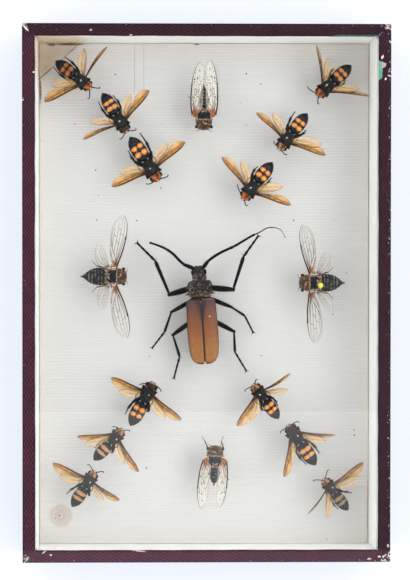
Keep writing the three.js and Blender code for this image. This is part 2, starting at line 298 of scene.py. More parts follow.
def face_outwards(mesh: Mesh) -> None:
    """Turns every face of a closed mesh to point out."""
    work = bmesh.new()
    work.from_mesh(mesh)
    bmesh.ops.recalc_face_normals(work, faces=work.faces)
    work.to_mesh(mesh)
    work.free()


def show(name: str, mesh: Mesh) -> Thing:
    """Puts a mesh in the scene at the origin."""
    piece = bpy.data.objects.new(name, mesh)
    bpy.context.scene.collection.objects.link(piece)
    return piece


class Shells:
    """Closed shells drawn in millimetres in a piece's own frame, which become one mesh."""

    def __init__(self, *finishes: Material) -> None:
        """Starts with no shells, and with the finishes that they may take."""
        self.finishes = finishes
        self.points: list[Array] = []
        self.places: list[Array] = []
        self.parts: list[Array] = []
        self.hairs: list[Array] = []
        self.faces: list[tuple[int, ...]] = []
        self.slots: list[int] = []
        self.count = 0

    def add(self, rings: Array, part: Part = Part.LIMB, slot: int = 0, hair: float = 0.0,
            place: Array | None = None, looped: bool = False, flat_ends: bool = False) -> None:
        """Adds one shell.

        Args:
            rings: Its rings of points.
            part: The part of the insect that it is.
            slot: Which of the finishes it takes.
            hair: How hairy it is.
            place: What a finish reads as each point's place, or None for the point itself.
            looped: True if the last ring meets the first.
            flat_ends: True if each end is one flat face, and not a pole.
        """
        rounds, sides = rings.shape[:2]
        place = rings if place is None else place
        points, places = rings.reshape(-1, 3), place.reshape(-1, 3)
        last = rounds if looped else rounds - 1
        i, j = np.meshgrid(np.arange(last), np.arange(sides), indexing="ij")
        k, n = (j + 1) % sides, (i + 1) % rounds
        quads = np.stack([i * sides + j, i * sides + k, n * sides + k, n * sides + j], -1).reshape(-1, 4)
        faces = [tuple(q) for q in (quads + self.count).tolist()]
        if flat_ends:
            faces.append(tuple(self.count + s for s in range(sides)))
            faces.append(tuple(self.count + (rounds - 1) * sides + s for s in range(sides)))
        elif not looped:
            points = np.vstack([points, rings[0].mean(0), rings[-1].mean(0)])
            places = np.vstack([places, place[0].mean(0), place[-1].mean(0)])
            start, end = self.count + rounds * sides, self.count + (rounds - 1) * sides
            for s in range(sides):
                after = (s + 1) % sides
                faces.append((start, self.count + after, self.count + s))
                faces.append((start + 1, end + s, end + after))
        self.points.append(points)
        self.places.append(places)
        self.parts.append(np.full(len(points), float(part.value)))
        self.hairs.append(np.full(len(points), hair))
        self.faces += faces
        self.slots += [slot] * len(faces)
        self.count += len(points)

    def build(self, name: str, at: Matrix | None = None, trait: Place = (0.0, 0.0, 0.0),
              smooth: bool = True) -> Thing:
        """Makes the mesh and its object.

        Args:
            name: The object's name.
            at: Where the piece's own frame lies, in millimetres.
            trait: What sets this piece apart from others with the same finish.
            smooth: True for soft shading.

        Returns:
            The object, in metres, at the origin.
        """
        mesh = bpy.data.meshes.new(name)
        mesh.from_pydata(np.vstack(self.points).tolist(), [], self.faces)
        for finish in self.finishes:
            mesh.materials.append(finish)
        mesh.polygons.foreach_set("material_index", self.slots)
        mesh.polygons.foreach_set("use_smooth", [smooth] * len(self.faces))
        set_marks(mesh, self.places, np.concatenate(self.parts), trait)
        set_attribute(mesh, HAIR, "FLOAT", np.concatenate(self.hairs))
        mesh.transform(Matrix.Scale(MM, 4) @ (at or Matrix.Identity(4)))
        face_outwards(mesh)
        return show(name, mesh)


class Wires:
    """Thin lines drawn in millimetres in a piece's own frame, to be swept round."""

    def __init__(self) -> None:
        """Starts with no lines."""
        self.points: list[Array] = []
        self.radii: list[Array] = []
        self.edges: list[tuple[int, int]] = []
        self.count = 0

    def add(self, path: Array, near: float, far: float) -> None:
        """Adds a line that thins from the radius near to the radius far."""
        size = len(path)
        self.points.append(path)
        self.radii.append(np.linspace(near, far, size))
        self.edges += [(self.count + i, self.count + i + 1) for i in range(size - 1)]
        self.count += size

    def build(self, name: str, at: Matrix, finish: Material, part: Part,
              trait: Place) -> Thing:
        """Sweeps the lines into round veins.

        Args:
            name: The object's name.
            at: Where the lines' own frame lies, in millimetres.
            finish: The veins' material.
            part: The part that they are.
            trait: What sets this piece apart.

        Returns:
            The veins, in metres.
        """
        mesh = bpy.data.meshes.new(name)
        mesh.from_pydata(np.vstack(self.points).tolist(), self.edges, [])
        set_attribute(mesh, THICKNESS, "FLOAT", np.concatenate(self.radii) * MM)
        set_marks(mesh, self.points, np.full(self.count, float(part.value)), trait)
        mesh.transform(Matrix.Scale(MM, 4) @ at)
        piece = show(name, mesh)
        grow(piece, vein_tree(), {"Finish": finish})
        return piece


def grow(piece: Thing, tree: Tree, values: dict[str, object]) -> None:
    """Replaces a piece's mesh by what a tree of geometry nodes makes of it.

    Args:
        piece: The object whose mesh goes in.
        tree: The tree.
        values: The tree's inputs by name.
    """
    modifier = piece.modifiers.new("grow", "NODES")
    modifier.node_group = tree
    for item in tree.interface.items_tree:
        if item.item_type == "SOCKET" and item.in_out == "INPUT" and item.name in values:
            modifier[item.identifier] = values[item.name]
    bpy.context.view_layer.update()
    graph = bpy.context.evaluated_depsgraph_get()
    mesh = bpy.data.meshes.new_from_object(piece.evaluated_get(graph), depsgraph=graph)
    piece.modifiers.remove(modifier)
    piece.data = mesh


def join(first: Thing, *others: Thing) -> Thing:
    """Makes one piece of several, with the first one's name."""
    with bpy.context.temp_override(active_object=first, object=first,
                                   selected_editable_objects=[first, *others]):
        bpy.ops.object.join()
    return first


def settle(piece: Thing, slot: Slot, *nodes: str) -> None:
    """Fixes a finished piece to the drawer.

    Args:
        piece: The piece.
        slot: The record's slot of its finish.
        nodes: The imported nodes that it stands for.
    """
    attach(piece, BODY)
    if nodes:
        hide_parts(*nodes)
    log.info("%s: %d faces, %s", piece.name, len(piece.data.polygons), slot.value)


# Trees of nodes


def arithmetic(operation: str, swapped: bool = False) -> Callable[[Value, object], Value]:
    """Makes a method that joins two values by a math node.

    Args:
        operation: The node's operation.
        swapped: True if the other value comes first.

    Returns:
        The method.
    """

    def work(self: Value, other: object) -> Value:
        """Joins a value to another, or to a plain number."""
        pair = (other, self) if swapped else (self, other)
        return self.sketch.math(operation, *pair)

    return work


class Value:
    """A number, colour or place in a tree of nodes, with Python's own arithmetic."""

    def __init__(self, sketch: Sketch, socket: bpy.types.NodeSocket) -> None:
        """Holds a socket and the sketch that it belongs to."""
        self.sketch, self.socket = sketch, socket

    __add__, __radd__ = arithmetic("ADD"), arithmetic("ADD", True)
    __sub__, __rsub__ = arithmetic("SUBTRACT"), arithmetic("SUBTRACT", True)
    __mul__, __rmul__ = arithmetic("MULTIPLY"), arithmetic("MULTIPLY", True)
    __truediv__ = arithmetic("DIVIDE")

    def __abs__(self) -> Value:
        """Drops the sign."""
        return self.sketch.math("ABSOLUTE", self)


class Made:
    """A node of a sketch, whose outputs are read by name or number."""

    def __init__(self, sketch: Sketch, node: bpy.types.Node) -> None:
        """Holds the node and its sketch."""
        self.sketch, self.node = sketch, node

    def __getitem__(self, output: str | int) -> Value:
        """Gives one output."""
        return Value(self.sketch, self.node.outputs[output])

    def take(self, inputs: dict) -> Made:
        """Links or sets inputs.

        Args:
            inputs: Plain or drawn values by name or number. Those that are None are skipped.

        Returns:
            This node.
        """
        for name, value in inputs.items():
            if isinstance(value, Value):
                self.sketch.tree.links.new(value.socket, self.node.inputs[name])
            elif value is not None:
                self.node.inputs[name].default_value = value
        return self

    def set(self, **inputs: object) -> None:
        """Links or sets inputs, with _ for a blank in a name."""
        self.take({name.replace("_", " "): value for name, value in inputs.items()})


class Sketch:
    """Adds nodes to a tree and links them, so that a finish reads as a recipe."""

    def __init__(self, tree: Tree) -> None:
        """Works on the tree given."""
        self.tree = tree

    @classmethod
    def open(cls, name: str, kind: str, inputs: dict[str, str],
             outputs: dict[str, str]) -> tuple[Sketch, Made, Made]:
        """Starts a group with named sockets.

        Args:
            name: The tree's name.
            kind: ShaderNodeTree or GeometryNodeTree.
            inputs: The kind of each input by name.
            outputs: The kind of each output by name.

        Returns:
            The sketch, its input node and its output node.
        """
        tree = bpy.data.node_groups.new(name, kind)
        for way, sockets in (("INPUT", inputs), ("OUTPUT", outputs)):
            for socket, form in sockets.items():
                tree.interface.new_socket(name=socket, in_out=way, socket_type="NodeSocket" + form)
        sketch = cls(tree)
        return sketch, sketch.node("NodeGroupInput"), sketch.node("NodeGroupOutput")

    @classmethod
    def open_geometry(cls, name: str, inputs: dict[str, str]) -> tuple[Sketch, Made, Made]:
        """Starts a tree that makes a new mesh of the one given, in a finish that is given too."""
        return cls.open(name, "GeometryNodeTree", {"Geometry": "Geometry", **inputs, "Finish": "Material"},
                        {"Geometry": "Geometry"})

    def end(self, shape: Value, given: Made, out: Made) -> Tree:
        """Ends a geometry tree: instances are made real, and everything takes the finish."""
        real = self.node("GeometryNodeRealizeInstances", {0: shape})
        dressed = self.node("GeometryNodeSetMaterial", {"Geometry": real[0], "Material": given["Finish"]})
        out.take({"Geometry": dressed[0]})
        return self.tree

    def node(self, kind: str, inputs: dict | None = None, **settings: object) -> Made:
        """Adds a node.

        Args:
            kind: The node's type.
            inputs: Plain or drawn values for its inputs, by name or number.
            settings: The node's own settings.

        Returns:
            The node.
        """
        node = self.tree.nodes.new(kind)
        for name, value in settings.items():
            setattr(node, name, value)
        return Made(self, node).take(inputs or {})

    def group(self, tree: Tree, inputs: dict) -> Made:
        """Places a shared group."""
        return self.node("ShaderNodeGroup", inputs, node_tree=tree)

    def math(self, operation: str, *values: object, clamp: bool = False) -> Value:
        """Works out one number from up to three."""
        inputs = dict(enumerate(values))
        return self.node("ShaderNodeMath", inputs, operation=operation, use_clamp=clamp)[0]

    def vector(self, operation: str, *values: object) -> Made:
        """Works on one or two places."""
        return self.node("ShaderNodeVectorMath", dict(enumerate(values)), operation=operation)

    def most(self, first: object, second: object) -> Value:
        """Gives the greater of two numbers."""
        return self.math("MAXIMUM", first, second)

    def least(self, first: object, second: object) -> Value:
        """Gives the smaller of two numbers."""
        return self.math("MINIMUM", first, second)

    def on(self, part: object, kind: Part) -> Value:
        """Gives 1 on one part of an insect, and 0 off it."""
        return self.math("COMPARE", part, float(kind.value), 0.5)

    def step(self, value: object, low: float, high: float) -> Value:
        """Gives 0 where the value is at low and 1 at high, softly between."""
        inputs = {"Value": value, "From Min": low, "From Max": high}
        return self.node("ShaderNodeMapRange", inputs, interpolation_type="SMOOTHSTEP")["Result"]

    def mix(self, share: object, first: object, second: object) -> Value:
        """Mixes two colours by a share."""
        return self.node("ShaderNodeMix", {0: share, 6: first, 7: second}, data_type="RGBA")[2]

    def noise(self, place: object, scale: object, detail: float = 3.0, roughness: float = 0.55,
              distortion: float = 0.0) -> Value:
        """Gives fractal noise from 0 to 1 at a place."""
        inputs = {"Vector": place, "Scale": scale, "Detail": detail, "Roughness": roughness,
                  "Distortion": distortion}
        return self.node("ShaderNodeTexNoise", inputs)[0]

    def cells(self, place: object, scale: float, randomness: float = 1.0, **settings: object) -> Made:
        """Splits space into cells round scattered points."""
        inputs = {"Vector": place, "Scale": scale, "Randomness": randomness}
        return self.node("ShaderNodeTexVoronoi", inputs, **settings)

    def stretch(self, place: object, scale: Place = (1.0, 1.0, 1.0), turn: float = 0.0) -> Value:
        """Turns a place about Z by an angle in degrees and scales it."""
        turned = self.node("ShaderNodeMapping", {"Vector": place, "Rotation": (0, 0, math.radians(turn))})
        return self.node("ShaderNodeMapping", {"Vector": turned[0], "Scale": scale})[0]

    def read(self, name: str, output: str) -> Value:
        """Reads an attribute of the mesh in a material."""
        return self.node("ShaderNodeAttribute", attribute_name=name)[output]

    def named(self, name: str) -> Value:
        """Reads an attribute of the mesh in a geometry tree."""
        return self.node("GeometryNodeInputNamedAttribute", {"Name": name}, data_type="FLOAT")[0]

    def split(self, place: object) -> tuple[Value, Value, Value]:
        """Splits a place into X, Y and Z."""
        made = self.node("ShaderNodeSeparateXYZ", {0: place})
        return made[0], made[1], made[2]

    def object_place(self) -> Value:
        """Gives the place on the object in millimetres."""
        return self.stretch(self.node("ShaderNodeTexCoord")["Object"], (1 / MM, 1 / MM, 1 / MM))

    def bump(self, height: Value, distance: float, strength: float = 1.0) -> Value:
        """Turns a height from 0 to 1 into a normal. The distance is in millimetres."""
        inputs = {"Height": height, "Distance": distance * MM, "Strength": strength}
        return self.node("ShaderNodeBump", inputs)[0]

    def oval(self, x: Value, y: Value, middle: Point, size: Point) -> Value:
        """Gives how far out a point is in an oval: 0 in the middle and 1 on its edge."""
        a = (x - middle[0]) / size[0]
        b = (y - middle[1]) / size[1]
        return self.math("SQRT", a * a + b * b)

    def mottle(self, colour: object, place: object, patches: float, grains: float, depth: float) -> Made:
        """Varies a colour in soft patches and fine grains, as many in a millimetre."""
        return self.group(mottle_group(), {"Color": colour, "Place": place, "Patches": patches,
                                           "Grains": grains, "Depth": depth})

    def flecks(self, place: object, scale: float, cover: object) -> Value:
        """Masks scattered flecks, as of wear, rust or dirt."""
        return self.group(fleck_group(), {"Place": place, "Scale": scale, "Cover": cover})["Mask"]

    def ring(self, place: object, middle: Place, radius: float, width: float) -> Made:
        """Masks a ring round a point, and what is inside it."""
        return self.group(ring_group(), {"Place": place, "Middle": middle, "Radius": radius, "Width": width})


@cache
def vein_tree() -> Tree:
    """Makes the tree that sweeps a round section along lines, as thick as their attribute says."""
    sketch, given, out = Sketch.open_geometry("veins", {"Sides": "Int"})
    sketch.tree.interface.items_tree["Sides"].default_value = VEIN_SIDES
    radius = sketch.named(THICKNESS)
    lines = sketch.node("GeometryNodeMeshToCurve", {0: given["Geometry"]})
    sized = sketch.node("GeometryNodeSetCurveRadius", {"Curve": lines[0], "Radius": radius})
    section = sketch.node("GeometryNodeCurvePrimitiveCircle", {"Resolution": given["Sides"], "Radius": 1.0})
    swept = sketch.node("GeometryNodeCurveToMesh",
                        {"Curve": sized[0], "Profile Curve": section[0], "Fill Caps": True})
    if "Scale" in swept.node.inputs:
        swept.take({"Scale": radius})
    return sketch.end(swept[0], given, out)


@cache
def coat_tree() -> Tree:
    """Makes the tree that grows leaning hairs where a body's hair attribute is above nothing."""
    sketch, given, out = Sketch.open_geometry(
        "coat", {"Density": "Float", "Length": "Float", "Radius": "Float", "Lean": "Vector", "Seed": "Int"})
    spread = sketch.node("GeometryNodeDistributePointsOnFaces",
                         {"Mesh": given["Geometry"], "Density": sketch.named(HAIR) * given["Density"],
                          "Seed": given["Seed"]})
    wild = sketch.node("FunctionNodeRandomValue",
                       {0: (-0.5, -0.5, -0.5), 1: (0.5, 0.5, 0.5), "Seed": given["Seed"]},
                       data_type="FLOAT_VECTOR")
    way = sketch.vector("ADD", sketch.vector("ADD", spread["Normal"], given["Lean"])[0], wild[0])
    turn = sketch.node("FunctionNodeAlignRotationToVector", {"Vector": way[0]}, axis="Z")
    hair = sketch.node("GeometryNodeMeshCone", {"Vertices": 3, "Radius Bottom": given["Radius"],
                                                "Radius Top": 0.0, "Depth": given["Length"]})
    size = sketch.node("FunctionNodeRandomValue", {2: 0.5, 3: 1.1, "Seed": given["Seed"]}, data_type="FLOAT")
    placed = sketch.node("GeometryNodeInstanceOnPoints",
                         {"Points": spread["Points"], "Instance": hair["Mesh"], "Rotation": turn[0],
                          "Scale": size[1]})
    real = sketch.node("GeometryNodeRealizeInstances", {0: placed[0]})
    marked = sketch.node("GeometryNodeStoreNamedAttribute",
                         {"Geometry": real[0], "Name": PART, "Value": float(Part.HAIR.value)},
                         data_type="FLOAT", domain="POINT")
    return sketch.end(marked[0], given, out)


@cache
def rib_tree() -> Tree:
    """Makes the tree that lays half-round ribs across a sheet, one after another."""
    sketch, given, out = Sketch.open_geometry(
        "ribs", {"Count": "Int", "Pitch": "Float", "Width": "Float", "Height": "Float", "First": "Vector"})
    offset = sketch.node("ShaderNodeCombineXYZ", {"Y": given["Pitch"]})
    line = sketch.node("GeometryNodeMeshLine",
                       {"Count": given["Count"], "Start Location": given["First"], "Offset": offset[0]},
                       mode="OFFSET")
    radius = given["Pitch"] * 0.5
    rib = sketch.node("GeometryNodeMeshCylinder",
                      {"Vertices": 12, "Radius": radius, "Depth": given["Width"]})
    squash = sketch.node("ShaderNodeCombineXYZ", {"X": given["Height"] / radius, "Y": 1.0, "Z": 1.0})
    laid = sketch.node("GeometryNodeTransform",
                       {"Geometry": rib["Mesh"], "Rotation": (0, math.pi / 2, 0), "Scale": squash[0]})
    ribs = sketch.node("GeometryNodeInstanceOnPoints", {"Points": line[0], "Instance": laid[0]})
    both = sketch.node("GeometryNodeJoinGeometry")
    for part in (given["Geometry"], ribs[0]):
        both.take({0: part})
    return sketch.end(both[0], given, out)


@cache
def prick_tree() -> Tree:
    """Makes the tree that sets a small ragged crater on each point."""
    sketch, given, out = Sketch.open_geometry("pricks", {"Radius": "Float", "Height": "Float", "Seed": "Int"})
    crater = sketch.node("GeometryNodeMeshCone",
                         {"Vertices": 9, "Side Segments": 2, "Radius Bottom": given["Radius"],
                          "Radius Top": given["Radius"] * 0.45, "Depth": given["Height"]})
    size = sketch.node("FunctionNodeRandomValue", {2: 0.6, 3: 1.25, "Seed": given["Seed"]}, data_type="FLOAT")
    placed = sketch.node("GeometryNodeInstanceOnPoints",
                         {"Points": given["Geometry"], "Instance": crater["Mesh"], "Scale": size[1]})
    return sketch.end(placed[0], given, out)


@cache
def mottle_group() -> Tree:
    """Makes the group that varies a colour in soft patches and fine grains."""
    sketch, given, out = Sketch.open(
        "mottle", "ShaderNodeTree",
        {"Color": "Color", "Place": "Vector", "Patches": "Float", "Grains": "Float", "Depth": "Float"},
        {"Color": "Color", "Patch": "Float", "Grain": "Float"})
    patch = sketch.noise(given["Place"], given["Patches"])
    grain = sketch.noise(given["Place"], given["Grains"], 2.0)
    offset = (patch * 0.65 + grain * 0.35 - 0.5) * given["Depth"]
    toned = sketch.vector("MULTIPLY", given["Color"], offset * 2.0 + 1.0)
    out.take({"Color": toned[0], "Patch": patch, "Grain": grain})
    return sketch.tree


@cache
def fleck_group() -> Tree:
    """Makes the group that masks scattered flecks."""
    sketch, given, out = Sketch.open(
        "flecks", "ShaderNodeTree", {"Place": "Vector", "Scale": "Float", "Cover": "Float"},
        {"Mask": "Float"})
    over = sketch.noise(given["Place"], given["Scale"], 4.0, 0.7) - (1.0 - given["Cover"])
    out.take({"Mask": sketch.math("MULTIPLY", over, 18.0, clamp=True)})
    return sketch.tree


@cache
def ring_group() -> Tree:
    """Makes the group that masks a ring of a given size round a point."""
    sketch, given, out = Sketch.open(
        "ring", "ShaderNodeTree",
        {"Place": "Vector", "Middle": "Vector", "Radius": "Float", "Width": "Float"},
        {"Band": "Float", "Inside": "Float"})
    apart = sketch.vector("DISTANCE", given["Place"], given["Middle"])["Value"]
    past = apart + sketch.noise(given["Place"], 0.35) * 2.5 - given["Radius"]
    out.take({"Band": sketch.math("SUBTRACT", 1.0, abs(past) / given["Width"], clamp=True),
              "Inside": sketch.math("DIVIDE", past * -1.0, given["Width"], clamp=True)})
    return sketch.tree


@cache
def chip_group() -> Tree:
    """Makes the group that masks one ragged oval chip, scratch or mark."""
    sketch, given, out = Sketch.open(
        "chip", "ShaderNodeTree",
        {"Place": "Vector", "Middle": "Vector", "Size": "Vector", "Turn": "Float", "Ragged": "Float"},
        {"Mask": "Float"})
    turned = sketch.node("ShaderNodeVectorRotate",
                         {"Vector": given["Place"], "Center": given["Middle"], "Angle": given["Turn"]},
                         rotation_type="Z_AXIS")
    apart = sketch.vector("SUBTRACT", turned[0], given["Middle"])
    far = sketch.vector("LENGTH", sketch.vector("DIVIDE", apart[0], given["Size"])[0])["Value"]
    rough = (sketch.noise(given["Place"], 1.7, 4.0) - 0.5) * given["Ragged"]
    out.take({"Mask": sketch.math("MULTIPLY", 1.0 - (far + rough), 6.0, clamp=True)})
    return sketch.tree


def paint(red: int, green: int, blue: int) -> tuple[float, float, float, float]:
    """Gives the linear colour of a screen colour whose channels run from 0 to 255."""
    shares = (channel / 255 for channel in (red, green, blue))
    linear = (s / 12.92 if s <= 0.04045 else ((s + 0.055) / 1.055) ** 2.4 for s in shares)
    return (*linear, 1.0)


@dataclass(frozen=True)
class Mark:
    """A chip, scratch or stroke: its middle, half sizes, turn in degrees and strength."""

    middle: Point
    size: Point
    turn: float = 0.0
    share: float = 1.0
    ragged: float = 3.2

    def lay(self, sketch: Sketch, place: object, colour: object, paint_over: tuple) -> Value:
        """Mixes the mark's colour over another, at any height."""
        inputs = {"Place": place, "Middle": (*self.middle, 0.0), "Size": (*self.size, ENDLESS),
                  "Turn": -math.radians(self.turn), "Ragged": self.ragged}
        mask = sketch.group(chip_group(), inputs)["Mask"]
        return sketch.mix(mask * self.share, colour, paint_over)


# Finishes


@dataclass(frozen=True)
class Finish:
    """A named material."""

    name: str

    def make(self) -> Material:
        """Builds the material from its recipe."""
        material = bpy.data.materials.new(self.name)
        material.use_nodes = True
        sketch = Sketch(material.node_tree)
        self.recipe(sketch, Made(sketch, material.node_tree.nodes["Principled BSDF"]))
        return material

    def recipe(self, sketch: Sketch, surface: Made) -> None:
        """Adds this finish's own nodes in front of the surface shader."""
        raise NotImplementedError


@dataclass(frozen=True)
class Leatherette(Finish):
    """Maroon book cloth embossed with a net of lozenges, chipped at corners and edges, with painted shade on
    its rims and on the top and right strips, and painted light on the foot strip.
    """

    hollow: tuple = paint(35, 12, 23)
    net: tuple = paint(88, 43, 62)
    # Painted light for the foot strip, then painted shade for the rims and the top and right strips.
    painted_light_and_shade: tuple = paint(150, 122, 130)
    painted_shade: tuple = paint(14, 5, 10)
    core: tuple = paint(226, 206, 206)
    lozenge: Point = (4.6, 2.4)
    half_width: float = 133.5
    half_length: float = 195.0
    border: float = 9.25
    # Where the painted rim shade starts and where it is full, in from each rim.
    rim_shade_band: Point = (1.3, 0.5)
    chips: tuple[Mark, ...] = (
        Mark((-130.6, 191.3), (3.0, 0.9), -50, ragged=1.2), Mark((-132.6, 193.9), (1.6, 1.2)),
        Mark((130.6, 192.2), (1.9, 0.8), 25), Mark((133.0, 181.6), (0.7, 0.8)),
        Mark((-83.9, 190.0), (0.8, 0.6)), Mark((-55.0, 186.4), (0.9, 0.5)),
        Mark((-124.9, 159.5), (0.9, 0.6)), Mark((-133.2, 139.5), (0.8, 0.7)),
        Mark((126.9, 171.0), (1.5, 0.8), 70), Mark((132.0, 157.5), (1.3, 0.5), -30),
        Mark((129.3, 155.2), (1.0, 0.6), 60), Mark((-112.9, -189.2), (0.9, 0.6)),
        Mark((-130.2, -192.0), (1.6, 1.0), 45),
        Mark((-49.0, -186.4), (4.6, 0.5), -6, 0.8), Mark((-118.0, -187.2), (1.4, 0.5), 30),
        Mark((129.0, -190.4), (2.0, 0.8), 35, 0.9, 3.0), Mark((125.5, -190.9), (1.2, 0.7), 0, 1.0, 2.0),
        Mark((131.6, -183.0), (0.7, 1.3), 0, 0.8, 3.2), Mark((118.0, -192.6), (1.6, 0.7), 10, 0.7, 2.4),
    )

    def recipe(self, sketch: Sketch, surface: Made) -> None:
        """Crosses two runs of ridges into a net, then paints shade along the edges and chips them."""
        own = sketch.read(PLACE, "Vector")
        place = sketch.object_place()
        along_side, around = sketch.split(own)[:2]
        wander = (sketch.noise(own, 0.35) - 0.5) * 0.35
        first = along_side / self.lozenge[0] + wander
        second = around / self.lozenge[1]
        ridges = []
        for way in ("ADD", "SUBTRACT"):
            phase = sketch.math("FRACT", sketch.math(way, first, second))
            ridges.append(sketch.step(abs(phase - 0.5), 0.24, 0.46))
        ridge = sketch.most(*ridges)
        knot = ridges[0] * ridges[1]
        fine = sketch.noise(own, 3.2, 3.0)
        height = ridge * 0.65 + knot * 0.35 + fine * 0.3
        share = sketch.math("MULTIPLY", height, 0.25 + fine, clamp=True)
        hue = sketch.mix(share, self.hollow, self.net)
        tone = sketch.mottle(hue, place, 0.14, 0.9, 0.8)
        x, y, z = sketch.split(place)
        side = self.half_width - abs(x)
        end = self.half_length - abs(y)
        outer = sketch.least(side, end)
        upper = sketch.step(z, 50.0, 53.0)
        # Painted shade: the outer and inner rims of the top face are darkened for the shade of their rounded
        # edges.
        start, full = self.rim_shade_band
        rims = sketch.most(sketch.step(outer, start, full),
                           sketch.step(outer, self.border - start, self.border - full))
        rim_shade = rims * upper * 0.8
        colour = sketch.mix(rim_shade, tone["Color"], self.painted_shade)
        # Painted shade darkens the top and right strips, and painted light lightens the foot strip, for the
        # way the light falls.
        side_shade = sketch.most(sketch.step(y, 182.0, 189.0) * 0.5, sketch.step(x, 123.0, 126.0) * 0.42)
        colour = sketch.mix(side_shade, colour, self.painted_shade)
        colour = sketch.mix(sketch.step(y, -184.0, -189.0) * 0.1, colour, self.painted_light_and_shade)
        corner = sketch.step(sketch.most(side, end), 10.0, 1.5) * 0.11
        rubbed = sketch.math("MULTIPLY_ADD", sketch.step(x, 60.0, 120.0), 0.05, 0.07)
        arris = sketch.step(outer, 4.0, 1.6) * sketch.step(z, 51.0, 53.2)
        worn = sketch.math("MULTIPLY_ADD", arris, rubbed, corner)
        flecks = sketch.flecks(place, 0.55, 0.27 + worn)
        colour = sketch.mix(flecks, colour, self.core)
        chipped = colour
        for chip in self.chips:
            chipped = chip.lay(sketch, place, chipped, self.core)
        colour = sketch.mix(sketch.step(z, 51.5, 53.0), colour, chipped)
        rough = 0.5 + fine * 0.2
        whole = height - flecks * 0.8
        surface.set(Base_Color=colour, Roughness=rough, Specular_IOR_Level=0.14,
                    Normal=sketch.bump(whole, 0.3, 0.9))


@dataclass(frozen=True)
class WallPaper(Finish):
    """Cream white paper pasted over the lip, with the damp stain of one corner."""

    colour: tuple = paint(251, 250, 247)
    stain: tuple = paint(222, 196, 162)
    dirt: tuple = paint(104, 74, 44)
    corner: Place = (-126.0, 190.0, 30.0)
    damp_radius: float = 43.0
    damp_width: float = 9.0

    def recipe(self, sketch: Sketch, surface: Made) -> None:
        """Lays damp patches and foxing on the fibres."""
        place = sketch.object_place()
        tone = sketch.mottle(self.colour, place, 0.05, 1.8, 0.09)
        damp = sketch.ring(place, self.corner, self.damp_radius, self.damp_width)
        rust = sketch.flecks(place, 0.22, 0.42)
        z = sketch.split(place)[2]
        wet = damp["Inside"] * 0.7
        colour = sketch.mix(wet, tone["Color"], self.stain)
        foxed = rust * damp["Inside"] * sketch.step(z, 36.0, 18.0)
        colour = sketch.mix(foxed * 0.85, colour, self.dirt)
        foot = sketch.step(z, 15.0, 12.5) * 0.1
        colour = sketch.mix(foot, colour, self.stain)
        fibre = sketch.noise(sketch.stretch(place, (0.6, 0.6, 2.4)), 1.3, 4.0)
        surface.set(Base_Color=colour, Roughness=0.82, Specular_IOR_Level=0.25,
                    Normal=sketch.bump(fibre, 0.08, 0.6))


